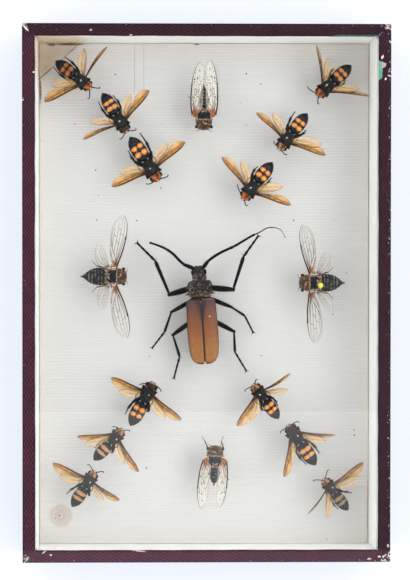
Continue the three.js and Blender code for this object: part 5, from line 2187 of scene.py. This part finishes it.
@dataclass
class Cicada(Specimen):
    """A cicada with clear wings, spread or folded back."""

    def build(self) -> Thing:
        """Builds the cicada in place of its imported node."""
        trait = (float(self.pose.folded), 0.0, 0.0)
        shells = Shells(self.finishes.cicada, self.finishes.clear)
        wires = Wires()
        self.front(shells)
        self.shield(shells)
        self.gaster(shells)
        for number, side in enumerate(SIDES):
            self.legs(shells, number, side)
            self.wings(shells, wires, number, side)
        at = self.stand()
        body = shells.build(f"{self.name}_specimen", at, trait)
        veins = wires.build(f"{self.name}_veins", at, self.finishes.cicada, Part.VEIN, trait)
        hairs = self.coat(body, density=1.6, length=0.7, radius=0.05, finish=self.finishes.cicada,
                          seed=40 + self.seed)
        return join(body, veins, hairs)

    def front(self, shells: Shells) -> None:
        """Adds the broad head, its eyes, and the pronotum with its rolled collar."""
        head = ((11.8, 0.6, 0.6, 0.8, -0.6), (11.5, 2.2, 1.4, 2.0, -0.5), (10.7, 4.2, 2.2, 3.0, -0.3),
                (9.6, 5.2, 2.7, 3.4, -0.1), (8.5, 5.4, 3.0, 3.5, 0.0), (7.8, 4.6, 2.8, 3.1, 0.0),
                (7.3, 3.0, 2.0, 2.2, 0.0))
        neck = ((8.6, 3.4, 2.0, 2.6, 0.0), (8.2, 5.0, 3.0, 3.4, 0.0), (7.2, 5.8, 3.5, 3.8, 0.1),
                (6.0, 6.0, 3.8, 3.9, 0.1), (4.9, 6.1, 4.0, 4.0, 0.1), (4.2, 5.6, 3.8, 3.8, 0.1),
                (3.7, 4.0, 2.8, 2.8, 0.0))

        def brow(x: Array, y: Array, z: Array) -> Array:
            """Raises the rounded face, and furrows its sides."""
            return 0.35 * groove(y, 0.0, 1.6) * groove(x, 11.0, 1.0) - 0.18 * groove(np.abs(y), 2.2, 0.25)

        def furrows(x: Array, y: Array, z: Array) -> Array:
            """Cuts the slanting furrows of the pronotum."""
            slant = np.abs(np.abs(y) - 1.2 - (8.4 - x) * 0.7)
            return -0.3 * groove(slant, 0.0, 0.3) - 0.14 * groove(np.abs(y), 4.4, 0.3)

        shells.add(loft_rings(head, 30, 36, brow), Part.HEAD, hair=0.3)
        shells.add(loft_rings(neck, 36, 40, furrows), Part.THORAX, hair=0.2)
        collar = ((4.9, 5.4, 3.7, 3.8, 0.1), (4.6, 6.3, 4.1, 4.1, 0.1), (4.2, 6.6, 4.3, 4.2, 0.1),
                  (3.8, 6.4, 4.2, 4.1, 0.1), (3.6, 5.6, 3.7, 3.7, 0.1))
        shells.add(loft_rings(collar, 16, 40), Part.COLLAR)
        for side in SIDES:
            shells.add(bead_rings((9.2, side * 5.5, 0.2), (1.35, 1.15, 1.4)), Part.EYE)
            shells.add(bead_rings((9.9, side * 0.8, 2.75), (0.22, 0.22, 0.2), 6, 8), Part.EYE)
            bristle = [(11.0, side * 3.1, -0.4), (12.0, side * 4.4, -0.6), (12.6, side * 6.4, -1.2)]
            shells.add(tube_rings(spline(bristle, 8), np.linspace(0.3, 0.06, 8), 6))
        shells.add(spindle_rings((10.4, 0, -2.6), (1.5, 0, -5.4), 0.9, 0.25), Part.LIMB)

    def shield(self, shells: Shells) -> None:
        """Adds the domed shield, and the cross-shaped ridge behind it."""
        dome = ((4.3, 3.0, 2.4, 3.6, 0.1), (3.9, 5.2, 4.0, 4.2, 0.1), (2.6, 6.0, 4.6, 4.4, 0.1),
                (1.0, 5.9, 4.8, 4.5, 0.1), (-0.6, 5.3, 4.6, 4.4, 0.0), (-2.0, 4.5, 4.0, 4.2, 0.0),
                (-3.2, 4.2, 3.4, 4.0, -0.1), (-4.2, 3.4, 2.6, 3.4, -0.2))

        def lines(x: Array, y: Array, z: Array) -> Array:
            """Scores the two curved lines of the shield."""
            curved = -0.2 * groove(np.abs(y), 1.7 + 0.15 * x, 0.2) * (x > -1.2)
            return (curved - 0.35 * groove(x, -1.9, 0.4)) * (z > 0)

        shells.add(loft_rings(dome, 40, 44, lines), Part.SHIELD, hair=0.15)
        for side in SIDES:
            for end in ((-0.9, 2.3), (-4.4, 2.6)):
                ridge = [(-2.7, 0.0, 4.0), (along((-2.7, 0), end, 0.6)[0], side * end[1] * 0.6, 3.95),
                         (end[0], side * end[1], 3.1)]
                shells.add(tube_rings(spline(ridge, 9), np.linspace(0.75, 0.45, 9), 9), Part.COLLAR)
            shells.add(bead_rings((-3.6, side * 3.9, 1.4), (2.0, 1.5, 1.7)), Part.COLLAR, hair=0.4)
        shells.add(bead_rings((-2.7, 0, 4.0), (1.1, 1.1, 0.75)), Part.COLLAR)

    def gaster(self, shells: Shells) -> None:
        """Adds the ringed gaster with its tail."""
        stations = ((-2.6, 3.6, 2.6, 3.0, 0.0), (-3.6, 5.6, 3.9, 3.9, 0.0), (-6.0, 6.4, 4.6, 4.2, 0.0),
                    (-9.0, 6.5, 4.8, 4.2, -0.1), (-12.0, 6.1, 4.5, 4.0, -0.3), (-15.0, 5.0, 3.9, 3.5, -0.5),
                    (-17.4, 3.5, 2.9, 2.7, -0.8), (-19.2, 2.0, 1.8, 1.8, -1.1), (-20.4, 1.0, 1.0, 1.0, -1.3),
                    (-21.6, 0.7, 0.7, 0.7, -1.4), (-22.3, 0.25, 0.25, 0.25, -1.5))
        first, last = -3.6, -15.5

        def rings(x: Array, y: Array, z: Array) -> Array:
            """Laps the rings over each other."""
            phase = np.mod(first - x, CICADA_RING) / CICADA_RING
            rough = 0.1 * bumps(x, y, z, 0.9, float(self.seed))
            return np.where(x < first, 0.3 * phase**2 - 0.12, 0.0) * (x > last) + rough

        length, width = self.pose.slimness
        shape = [(-2.6 + (x + 2.6) * length, half * width, *rest) for x, half, *rest in stations]
        shells.add(loft_rings(shape, 110, 44, rings), Part.GASTER, hair=0.5)

    def legs(self, shells: Shells, number: int, side: int) -> None:
        """Adds the three legs of one side."""
        radii = (0.75, 0.42, 0.24)
        if self.pose.fore_feet:
            toe = self.pose.fore_feet[number]
            knee, ankle = (10.6, side * 5.9, -2.0), (14.3, toe[1] * 0.78, -3.4)
            leg(shells, ((6.0, side * 3.4, -3.4), knee, ankle, (*toe, -4.4)), radii, toes=3, spines=2,
                hair=0.3)
        else:
            leg(shells, ((6.0, side * 3.2, -3.4), (7.4, side * 4.6, -5.4), (4.6, side * 4.2, -8.4),
                         (2.6, side * 3.2, -9.8)), (0.9, 0.5, 0.26), toes=3, spines=2, hair=0.3)
        leg(shells, ((1.0, side * 3.6, -3.6), (0.2, side * 5.6, -5.4), (-3.6, side * 5.4, -8.2),
                     (-6.4, side * 4.4, -9.8)), radii, toes=3, spines=2, hair=0.3)
        leg(shells, ((-2.6, side * 3.4, -3.4), (-4.4, side * 6.4, -4.2), (-10.4, side * 7.9, -4.8),
                     (-13.7, side * 11.2, -6.6)), radii, toes=3, spines=4, hair=0.3)

    def wings(self, shells: Shells, wires: Wires, number: int, side: int) -> None:
        """Adds the two wings of one side, the horny pieces at their roots, and their veins."""
        fore_tip, hind_tip = self.pose.fore[number], self.pose.hind[number]
        if self.pose.folded:
            fore = Wing(CICADA_FOLDED, (1.0, side * 6.9, 2.2), (*fore_tip, 1.8), side, -36.0)
            hind = Wing(CICADA_FOLDED, (-1.6, side * 6.6, 1.0), (*hind_tip, 0.4), side, -30.0,
                        hind=True)
        else:
            fore = Wing(CICADA_FORE, (3.2, side * 7.4, 0.6), (*fore_tip, 1.8), side, 6.0)
            hind = Wing(CICADA_HIND, (-1.4, side * 6.6, -0.2), (*hind_tip, 0.0), side, 2.0, hind=True)
        fore.membrane(shells, 1, 36, 16)
        hind.membrane(shells, 1, 28, 16)
        thick = 0.12 if self.pose.folded else 0.21
        fore.veins(wires, CICADA_VEINS, thick, 14)
        fore.veins(wires, (ROOT_TO_TIP,), 0.4, 18)
        fore.veins(wires, (TRAILING_EDGE,), thick * 0.7, 18)
        hind.veins(wires, CICADA_HIND_VEINS, thick * 0.7)
        hind.veins(wires, (TRAILING_EDGE,), thick * 0.6, 16)
        for end in ((0.2, 0.14), (0.17, 0.5), (0.13, 0.85)):
            way = np.linspace((0.0, 0.4), end, 8)
            rings = tube_rings(fore.at(way[:, 0], way[:, 1], 0.1), np.linspace(0.5, 0.14, 8), 8)
            shells.add(rings, Part.WING_ROOT)
        rim = fore.at(np.linspace(0.0, 0.6, 18), np.zeros(18), 0.0)
        shells.add(tube_rings(rim, np.linspace(0.6, 0.4, 18), 8), Part.LIMB)
        wires.add(fore.at(np.linspace(0.58, 0.99, 16), np.zeros(16), 0.0), 0.34, 0.14)
        hinge = fore.root
        for offset, size in (((0.3, 0.4, 0.2), 0.95), ((-1.3, 0.1, 0.1), 0.8), ((-2.9, -0.3, -0.1), 0.85),
                             ((0.9, -0.8, 0.1), 0.9), ((-0.6, 1.3, 0.0), 0.6), ((-2.6, 1.0, -0.2), 0.6)):
            middle = hinge + (offset[0], side * offset[1], offset[2])
            shells.add(bead_rings(middle, (size, size * 0.85, size * 0.6), 8, 10), Part.WING_ROOT)
        knot = fore.at(np.array([0.565]), np.array([0.02]), 0.0)[0]
        shells.add(bead_rings(knot, (0.5, 0.7, 0.4), 7, 8), Part.LIMB)


@dataclass
class Longhorn(Specimen):
    """The big long-horned beetle, whose pin goes through the right wing case."""

    pose: Pose = Pose(94.0, (-14.5, -5.0))

    def build(self) -> Thing:
        """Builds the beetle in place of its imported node."""
        shells = Shells(self.finishes.beetle, self.finishes.wing_case)
        self.head(shells)
        self.pronotum(shells)
        self.trunk(shells)
        for side in SIDES:
            self.wing_case(shells, side)
        self.limbs(shells)
        body = shells.build(f"{self.name}_specimen", self.stand())
        hairs = self.coat(body, density=1.2, length=0.6, radius=0.05, finish=self.finishes.beetle,
                          seed=70)
        return join(body, hairs)

    def head(self, shells: Shells) -> None:
        """Adds the head, its eyes, jaws and the knobs that the horns stand on."""
        stations = ((22.6, 0.8, 0.6, 0.9, -1.6), (22.0, 2.6, 1.4, 1.8, -1.4), (20.8, 4.0, 2.3, 2.6, -1.1),
                    (18.8, 5.0, 3.1, 3.3, -0.8), (16.4, 5.3, 3.5, 3.6, -0.6), (14.0, 5.2, 3.6, 3.7, -0.5),
                    (12.0, 5.5, 3.8, 3.9, -0.5), (10.8, 4.6, 3.2, 3.4, -0.5))

        def rough(x: Array, y: Array, z: Array) -> Array:
            """Roughens the crown, with a furrow down its middle."""
            ridge = -0.5 * groove(y, 0.0, 0.4) * (z > 0) * groove(x, 18.0, 4.0)
            return ridge + 0.7 * bumps(x, y, z, 0.5) * (z > -1)

        shells.add(loft_rings(stations, 60, 52, rough), Part.HEAD, hair=0.4)
        for side in SIDES:
            shells.add(bead_rings((18.2, side * 4.6, -0.5), (2.1, 1.2, 2.6)), Part.EYE)
            shells.add(bead_rings((20.6, side * 2.6, 0.6), (1.5, 1.3, 1.2)), Part.HEAD)
            jaw = [(20.6, side * 2.2, -2.4), (22.2, side * 1.9, -3.4), (22.6, side * 0.9, -3.9),
                   (22.4, side * 0.3, -4.0)]
            shells.add(tube_rings(spline(jaw, 10), np.linspace(1.2, 0.4, 10), 10), Part.LIMB)

    def pronotum(self, shells: Shells) -> None:
        """Adds the rough pronotum with its spines, and the furred collar behind it."""
        stations = ((12.2, 6.8, 3.6, 3.8, -0.5), (11.6, 8.1, 4.2, 4.4, -0.5), (10.0, 8.5, 4.7, 4.8, -0.4),
                    (7.6, 8.8, 5.1, 5.1, -0.3), (5.0, 9.0, 5.2, 5.2, -0.3), (2.8, 8.7, 5.0, 5.1, -0.3),
                    (1.2, 7.8, 4.6, 4.8, -0.3), (0.2, 6.6, 4.0, 4.4, -0.3), (-0.4, 5.4, 3.4, 3.8, -0.3))

        def rugged(x: Array, y: Array, z: Array) -> Array:
            """Piles the pits and knobs of the disc, coarse and fine."""
            coarse, fine = bumps(x, y, z, 0.32, 2.0), bumps(x, y, z, 0.6, 4.0)
            return coarse + 0.9 * np.abs(fine) - 0.5 * groove(x, 10.9, 0.35) - 0.3

        shells.add(loft_rings(stations, 84, 84, rugged), Part.THORAX, hair=0.15)
        teeth = ((10.9, 8.0, 1.3), (9.0, 8.4, 1.4), (7.0, 8.6, 1.6),
                 (4.9, 8.8, 1.8), (2.9, 8.4, 3.0), (1.0, 7.4, 1.4))
        for side in SIDES:
            for x, y, length in teeth:
                tip = (x - length * 0.3, side * (y + length), -0.2)
                shells.add(spindle_rings((x, side * (y - 0.9), -0.3), tip, length * 0.42, 0.08), Part.THORAX)
        collar = ((0.8, 5.6, 3.4, 3.8, -0.3), (0.2, 6.6, 3.9, 4.2, -0.3), (-0.8, 6.9, 4.0, 4.3, -0.3),
                  (-1.8, 6.6, 3.9, 4.2, -0.3), (-2.6, 5.4, 3.2, 3.6, -0.3))

        def tufted(x: Array, y: Array, z: Array) -> Array:
            """Breaks the collar into tufts."""
            return 0.8 * bumps(x, y, z, 0.8, 6.0)

        shells.add(loft_rings(collar, 20, 64, tufted), Part.COLLAR, hair=1.0)

    def trunk(self, shells: Shells) -> None:
        """Adds the body under the wing cases, and the small shield between them."""
        stations = ((0.0, 6.0, 2.4, 4.6, -0.8), (-2.0, 9.0, 3.0, 5.6, -0.8), (-6.0, 10.2, 3.2, 6.2, -0.8),
                    (-14.0, 10.4, 3.2, 6.0, -0.8), (-24.0, 10.4, 3.2, 5.2, -0.8),
                    (-34.0, 9.6, 3.0, 4.4, -0.8), (-41.0, 7.6, 2.4, 3.4, -0.8),
                    (-45.6, 4.6, 1.6, 2.2, -0.8), (-47.4, 1.6, 0.8, 1.0, -0.8))
        first, pitch = -15.0, 5.6

        def rings(x: Array, y: Array, z: Array) -> Array:
            """Laps the belly's rings."""
            phase = np.mod(first - x, pitch) / pitch
            return np.where((x < first) & (z < 0), 0.4 * phase**2 - 0.2, 0.0)

        shells.add(loft_rings(stations, 90, 56, rings), Part.GASTER, hair=0.12)
        point = ((-1.2, 1.8, 0.8, 0.8, 4.3), (-2.2, 1.6, 0.8, 0.8, 4.3), (-3.6, 1.0, 0.7, 0.7, 4.3),
                 (-4.6, 0.3, 0.4, 0.4, 4.2))
        shells.add(loft_rings(point, 14, 20), Part.THORAX)

    def wing_case(self, shells: Shells, side: int) -> None:
        """Adds one domed wing case, closed round the body under it."""
        keys = ((-0.9, 6.6, 2.6), (-1.4, 8.8, 3.6), (-2.4, 10.2, 4.4), (-4.6, 10.8, 4.9), (-9.0, 11.0, 5.1),
                (-16.0, 11.2, 5.2), (-24.0, 11.4, 5.2), (-32.0, 11.3, 5.0), (-38.0, 10.9, 4.7),
                (-42.5, 10.2, 4.3), (-45.6, 9.1, 3.8), (-47.4, 7.8, 3.2), (-48.7, 5.9, 2.6),
                (-49.4, 3.4, 2.0))
        rows = spline(keys, 110)
        sweep = np.linspace(0, np.pi / 2, 30)
        share = 1 - sweep / (np.pi / 2)
        around = np.concatenate([share, share[::-1]])
        lower = np.concatenate([np.zeros(30), np.ones(30)])
        inner = (0.04 + 0.16 * np.clip(-rows[:, 0] - 46.4, 0, 9) ** 1.7)[:, None]
        width = rows[:, 1:2] - inner
        arc = np.concatenate([sweep, sweep[::-1]])
        across = inner + width * np.cos(arc) ** 0.82
        ribs = 0.09 * np.sin(around * np.pi * 5.0) ** 2 * np.sin(np.pi * np.clip(around, 0, 1))
        high = rows[:, 2:3] * np.sin(arc) ** 0.75 + ribs * (1 - lower) - 0.55 * lower
        dip = 0.4 * groove(around, 0.0, 0.035)
        rings = np.stack([rows[:, :1] + 0 * arc, side * across, high - dip - 0.6], axis=-1)
        place = np.stack(np.broadcast_arrays(rows[:, :1], np.cos(arc)[None, :], float(side)), -1)
        shells.add(rings, Part.GASTER, 1, place=place)

    def limbs(self, shells: Shells) -> None:
        """Adds the six legs and the two long horns."""
        front, middle, hind = (1.9, 1.35, 0.95), (1.4, 1.0, 0.8), (1.5, 1.0, 0.8)
        legs = (
            (front, ((7, 6, -3.5), (3.4, 22.6, -1), (28.9, 31.2, -6), (43.0, 43.4, -9))),
            (front, ((6.5, -6, -3.5), (3.8, -24.4, -1), (27.6, -34.1, -6), (42.0, -46.1, -9))),
            (middle, ((-2, 6, -4), (-9.6, 22.1, -2), (-24.0, 28.0, -8), (-34.9, 37.6, -12))),
            (middle, ((-1, -6, -4), (-8.9, -22.2, -2), (-16.1, -32.1, -8), (-28.9, -37.7, -12))),
            (hind, ((-17, 7, -4), (-26.4, 22.1, -2), (-42.8, 18.1, -8), (-58.5, 23.3, -12))),
            (hind, ((-17, -7, -4), (-27.0, -22.9, -2), (-42.3, -23.0, -8), (-57.0, -30.7, -12))),
        )
        for radii, joints in legs:
            leg(shells, joints, radii, toes=4, spines=3)
        left = ((20.6, 2.6, 1.2), (22.4, 6.2, 2.2), (24.6, 10.4, 2.8), (28.4, 14.2, 2.6), (32.5, 17.6, 2.2),
                (36.0, 21.6, 1.6), (38.4, 25.4, 1.0), (40.6, 30.0, 0.5), (42.5, 34.7, 0.0))
        right = ((20.6, -2.6, 1.2), (23.4, -4.8, 2.2), (26.0, -7.4, 2.8), (29.0, -12.0, 3.0),
                 (31.5, -17.0, 3.0), (33.4, -21.8, 3.0), (35.6, -27.6, 3.0), (39.0, -34.4, 3.0),
                 (42.0, -40.4, 2.8), (44.5, -46.7, 2.4), (46.9, -51.6, 2.0), (47.3, -55.8, 1.4),
                 (46.4, -60.0, 0.9), (44.0, -63.0, 0.4), (38.7, -65.4, 0.0))
        self.horn(shells, left, ((0.0, 0.27, 1.3, 1.15), (0.27, 0.64, 1.1, 1.0), (0.64, 1.0, 0.95, 0.75)))
        self.horn(shells, right, ((0.0, 0.15, 1.3, 1.15), (0.15, 0.42, 1.1, 1.0), (0.42, 0.6, 0.95, 0.8),
                                  (0.6, 0.8, 0.55, 0.4), (0.8, 1.0, 0.4, 0.2)))

    @staticmethod
    def horn(shells: Shells, path: Sequence[Place], joints: Sequence[tuple[float, ...]]) -> None:
        """Adds a horn of long joints, each a little thicker at its end than where the next begins.

        Args:
            shells: Where it goes.
            path: Its middle line.
            joints: Rows of start and end, as shares of the path, and the radius at each.
        """
        steps = 120
        line = spline(path, steps + 1)
        for start, end, near, far in joints:
            piece = line[round(start * steps):round(end * steps) + 1]
            share = np.linspace(0, 1, len(piece))
            radii = near + (far - near) * share + 0.22 * near * np.exp(-(((share - 0.97) / 0.05) ** 2))
            radii[0] *= 0.6
            radii[-1] *= 0.6
            part = Part.VEIN if near < 0.6 else Part.LIMB
            shells.add(tube_rings(piece, radii, 10), part)
        shells.add(spindle_rings(path[0], along(path[1], path[2], 0.8), 1.2, 1.3, 0.3), Part.LIMB)


@dataclass
class Pin:
    """A setting pin: a drawn shaft with a point, and a wound or ball head."""

    node: str
    finishes: Finishes
    ball: bool = False
    shaft: float = 0.26
    head: float = 0.62
    ball_head: float = 1.95
    point: float = 2.2

    def build(self) -> Thing:
        """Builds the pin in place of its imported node."""
        low, high = box_mm(self.node)
        middle = (low + high) / 2
        foot, top = low[2], high[2]
        radius = self.ball_head if self.ball else self.head
        flat = radius if self.ball else radius * 0.7
        neck = top - 2 * flat
        shells = Shells(self.finishes.steel, self.finishes.ball)
        heights = np.array([foot, foot + 0.2, foot + self.point * 0.5, foot + self.point, neck + 0.1])
        widths = np.array([0.03, 0.08, 0.19, self.shaft, self.shaft])
        shells.add(tube_rings(self.upright(middle, heights), widths, 12))
        angle = np.linspace(-1.45, 1.45, 15)
        path = self.upright(middle, top - flat + flat * np.sin(angle))
        winds = 1.0 if self.ball else 1 + 0.07 * np.sin(angle * 9)
        shells.add(tube_rings(path, radius * np.cos(angle) * winds, 20), slot=int(self.ball))
        piece = shells.build(f"{self.node}_drawn")
        settle(piece, Slot.BALL_PIN if self.ball else Slot.PIN_STEEL, self.node)
        return piece

    @staticmethod
    def upright(middle: Array, heights: Array) -> Array:
        """Gives points above each other at the heights."""
        return np.stack(np.broadcast_arrays(middle[0], middle[1], heights), -1)


# The studio


@dataclass
class Studio:
    """A pale floor, soft lamps on both sides and a camera straight above."""

    camera_place: Place = (-0.07042, -0.01092, 1.5)
    camera_turn: Place = (-0.01816, -0.020208, 0.0)
    focal_pixels: float = 2000.3
    frame_height: float = 580.0
    sensor: float = 36.0
    middle_offset: float = 55.0
    key_power: float = 33.0
    fill_power: float = 26.0
    end_power: float = 7.0
    lamp_size: Point = (3.4, 1.3)
    end_size: Point = (2.4, 0.9)
    sky_strength: float = 1.5
    wall_colour: tuple = (0.87, 0.9, 0.98, 1)
    ceiling_colour: tuple = (0.025, 0.025, 0.028, 1)
    card_power: float = 1.95

    def build(self) -> None:
        """Builds the whole studio."""
        self.camera()
        self.floor()
        self.sky()
        self.lamp("fill lamp", (-1.6, 0.2, 1.9), self.fill_power, self.lamp_size)
        self.lamp("key lamp", (1.6, 0.1, 1.8), self.key_power, self.lamp_size)
        self.lamp("far lamp", (0.0, 1.7, 1.3), self.end_power, self.end_size)
        self.lamp("near lamp", (0.0, -1.7, 1.3), self.end_power * 0.75, self.end_size)
        self.card()

    def camera(self) -> None:
        """Sets the camera up as a long lens with a little shift."""
        data = bpy.data.cameras.new("camera")
        data.sensor_width = self.sensor
        data.lens = self.focal_pixels / self.frame_height * self.sensor
        data.shift_x = data.shift_y = self.middle_offset / self.frame_height
        data.clip_start, data.clip_end = 0.05, 20.0
        camera = bpy.data.objects.new("camera", data)
        camera.location, camera.rotation_euler = self.camera_place, self.camera_turn
        bpy.context.scene.collection.objects.link(camera)
        bpy.context.scene.camera = camera

    def floor(self) -> None:
        """Lays a pale table under the drawer."""
        mesh = bpy.data.meshes.new("table")
        half, drop = 3.0, -0.0004
        mesh.from_pydata([(-half, -half, drop), (half, -half, drop), (half, half, drop), (-half, half, drop)],
                         [], [(0, 1, 2, 3)])
        mesh.materials.append(TableTop("table").make())
        table = show("table", mesh)

    def sky(self) -> None:
        """Lights the room from its walls, and leaves the ceiling over the glass dark."""
        world = bpy.data.worlds.new("room")
        world.use_nodes = True
        sketch = Sketch(world.node_tree)
        height = sketch.split(sketch.node("ShaderNodeTexCoord")["Generated"])[2]
        colour = sketch.mix(sketch.step(height, 0.55, 0.9), self.wall_colour, self.ceiling_colour)
        Made(sketch, world.node_tree.nodes["Background"]).set(Color=colour, Strength=self.sky_strength)
        bpy.context.scene.world = world
        bpy.context.scene.view_settings.view_transform = "Standard"
        bpy.context.scene.view_settings.look = "None"

    @staticmethod
    def lamp(name: str, place: Place, power: float, size: Point,
             aim: Place = (0.0, 0.0, 0.0)) -> Thing:
        """Hangs a soft lamp that looks at a point."""
        data = bpy.data.lights.new(name, "AREA")
        data.shape = "RECTANGLE"
        data.size, data.size_y = size
        data.energy = power
        lamp = bpy.data.objects.new(name, data)
        lamp.location = place
        lamp.rotation_euler = (Vector(aim) - Vector(place)).to_track_quat("-Z", "Y").to_euler()
        bpy.context.scene.collection.objects.link(lamp)
        return lamp

    def card(self) -> None:
        """Hangs a dim panel overhead, whose pale reflection lies on the foot of the glass."""
        near, far, half = -0.196, -0.9, 0.62
        lamp = self.lamp("ceiling panel", (0.12, (near + far) / 2, 2.2), self.card_power,
                         (2 * half, near - far), (0.12, (near + far) / 2, 0.0))
        lamp.rotation_euler = (0, 0, 0)


def main() -> None:
    """Builds the drawer, its insects and the studio, and reports each piece."""
    logging.basicConfig(level=logging.INFO, format="%(name)s: %(message)s")
    Studio().build()
    finishes = Finishes()
    Carcass(finishes).build()
    Lid(finishes).build()
    specimens = [
        *((Wasp(f"wasp_{number}", finishes, pose, number), Slot.WASP)
          for number, pose in enumerate(WASP_POSES, start=1)),
        *((Cicada(f"cicada_{where}", finishes, pose, number), Slot.CICADA)
          for number, (where, pose) in enumerate(CICADA_POSES.items())),
        (Longhorn("longhorn_beetle", finishes), Slot.BEETLE),
    ]
    for specimen, slot in specimens:
        settle(specimen.build(), slot, specimen.name)
        Pin(f"pin_{specimen.name}", finishes, ball=specimen.name == BALL_PINNED).build()


if __name__ == "__main__":
    main()
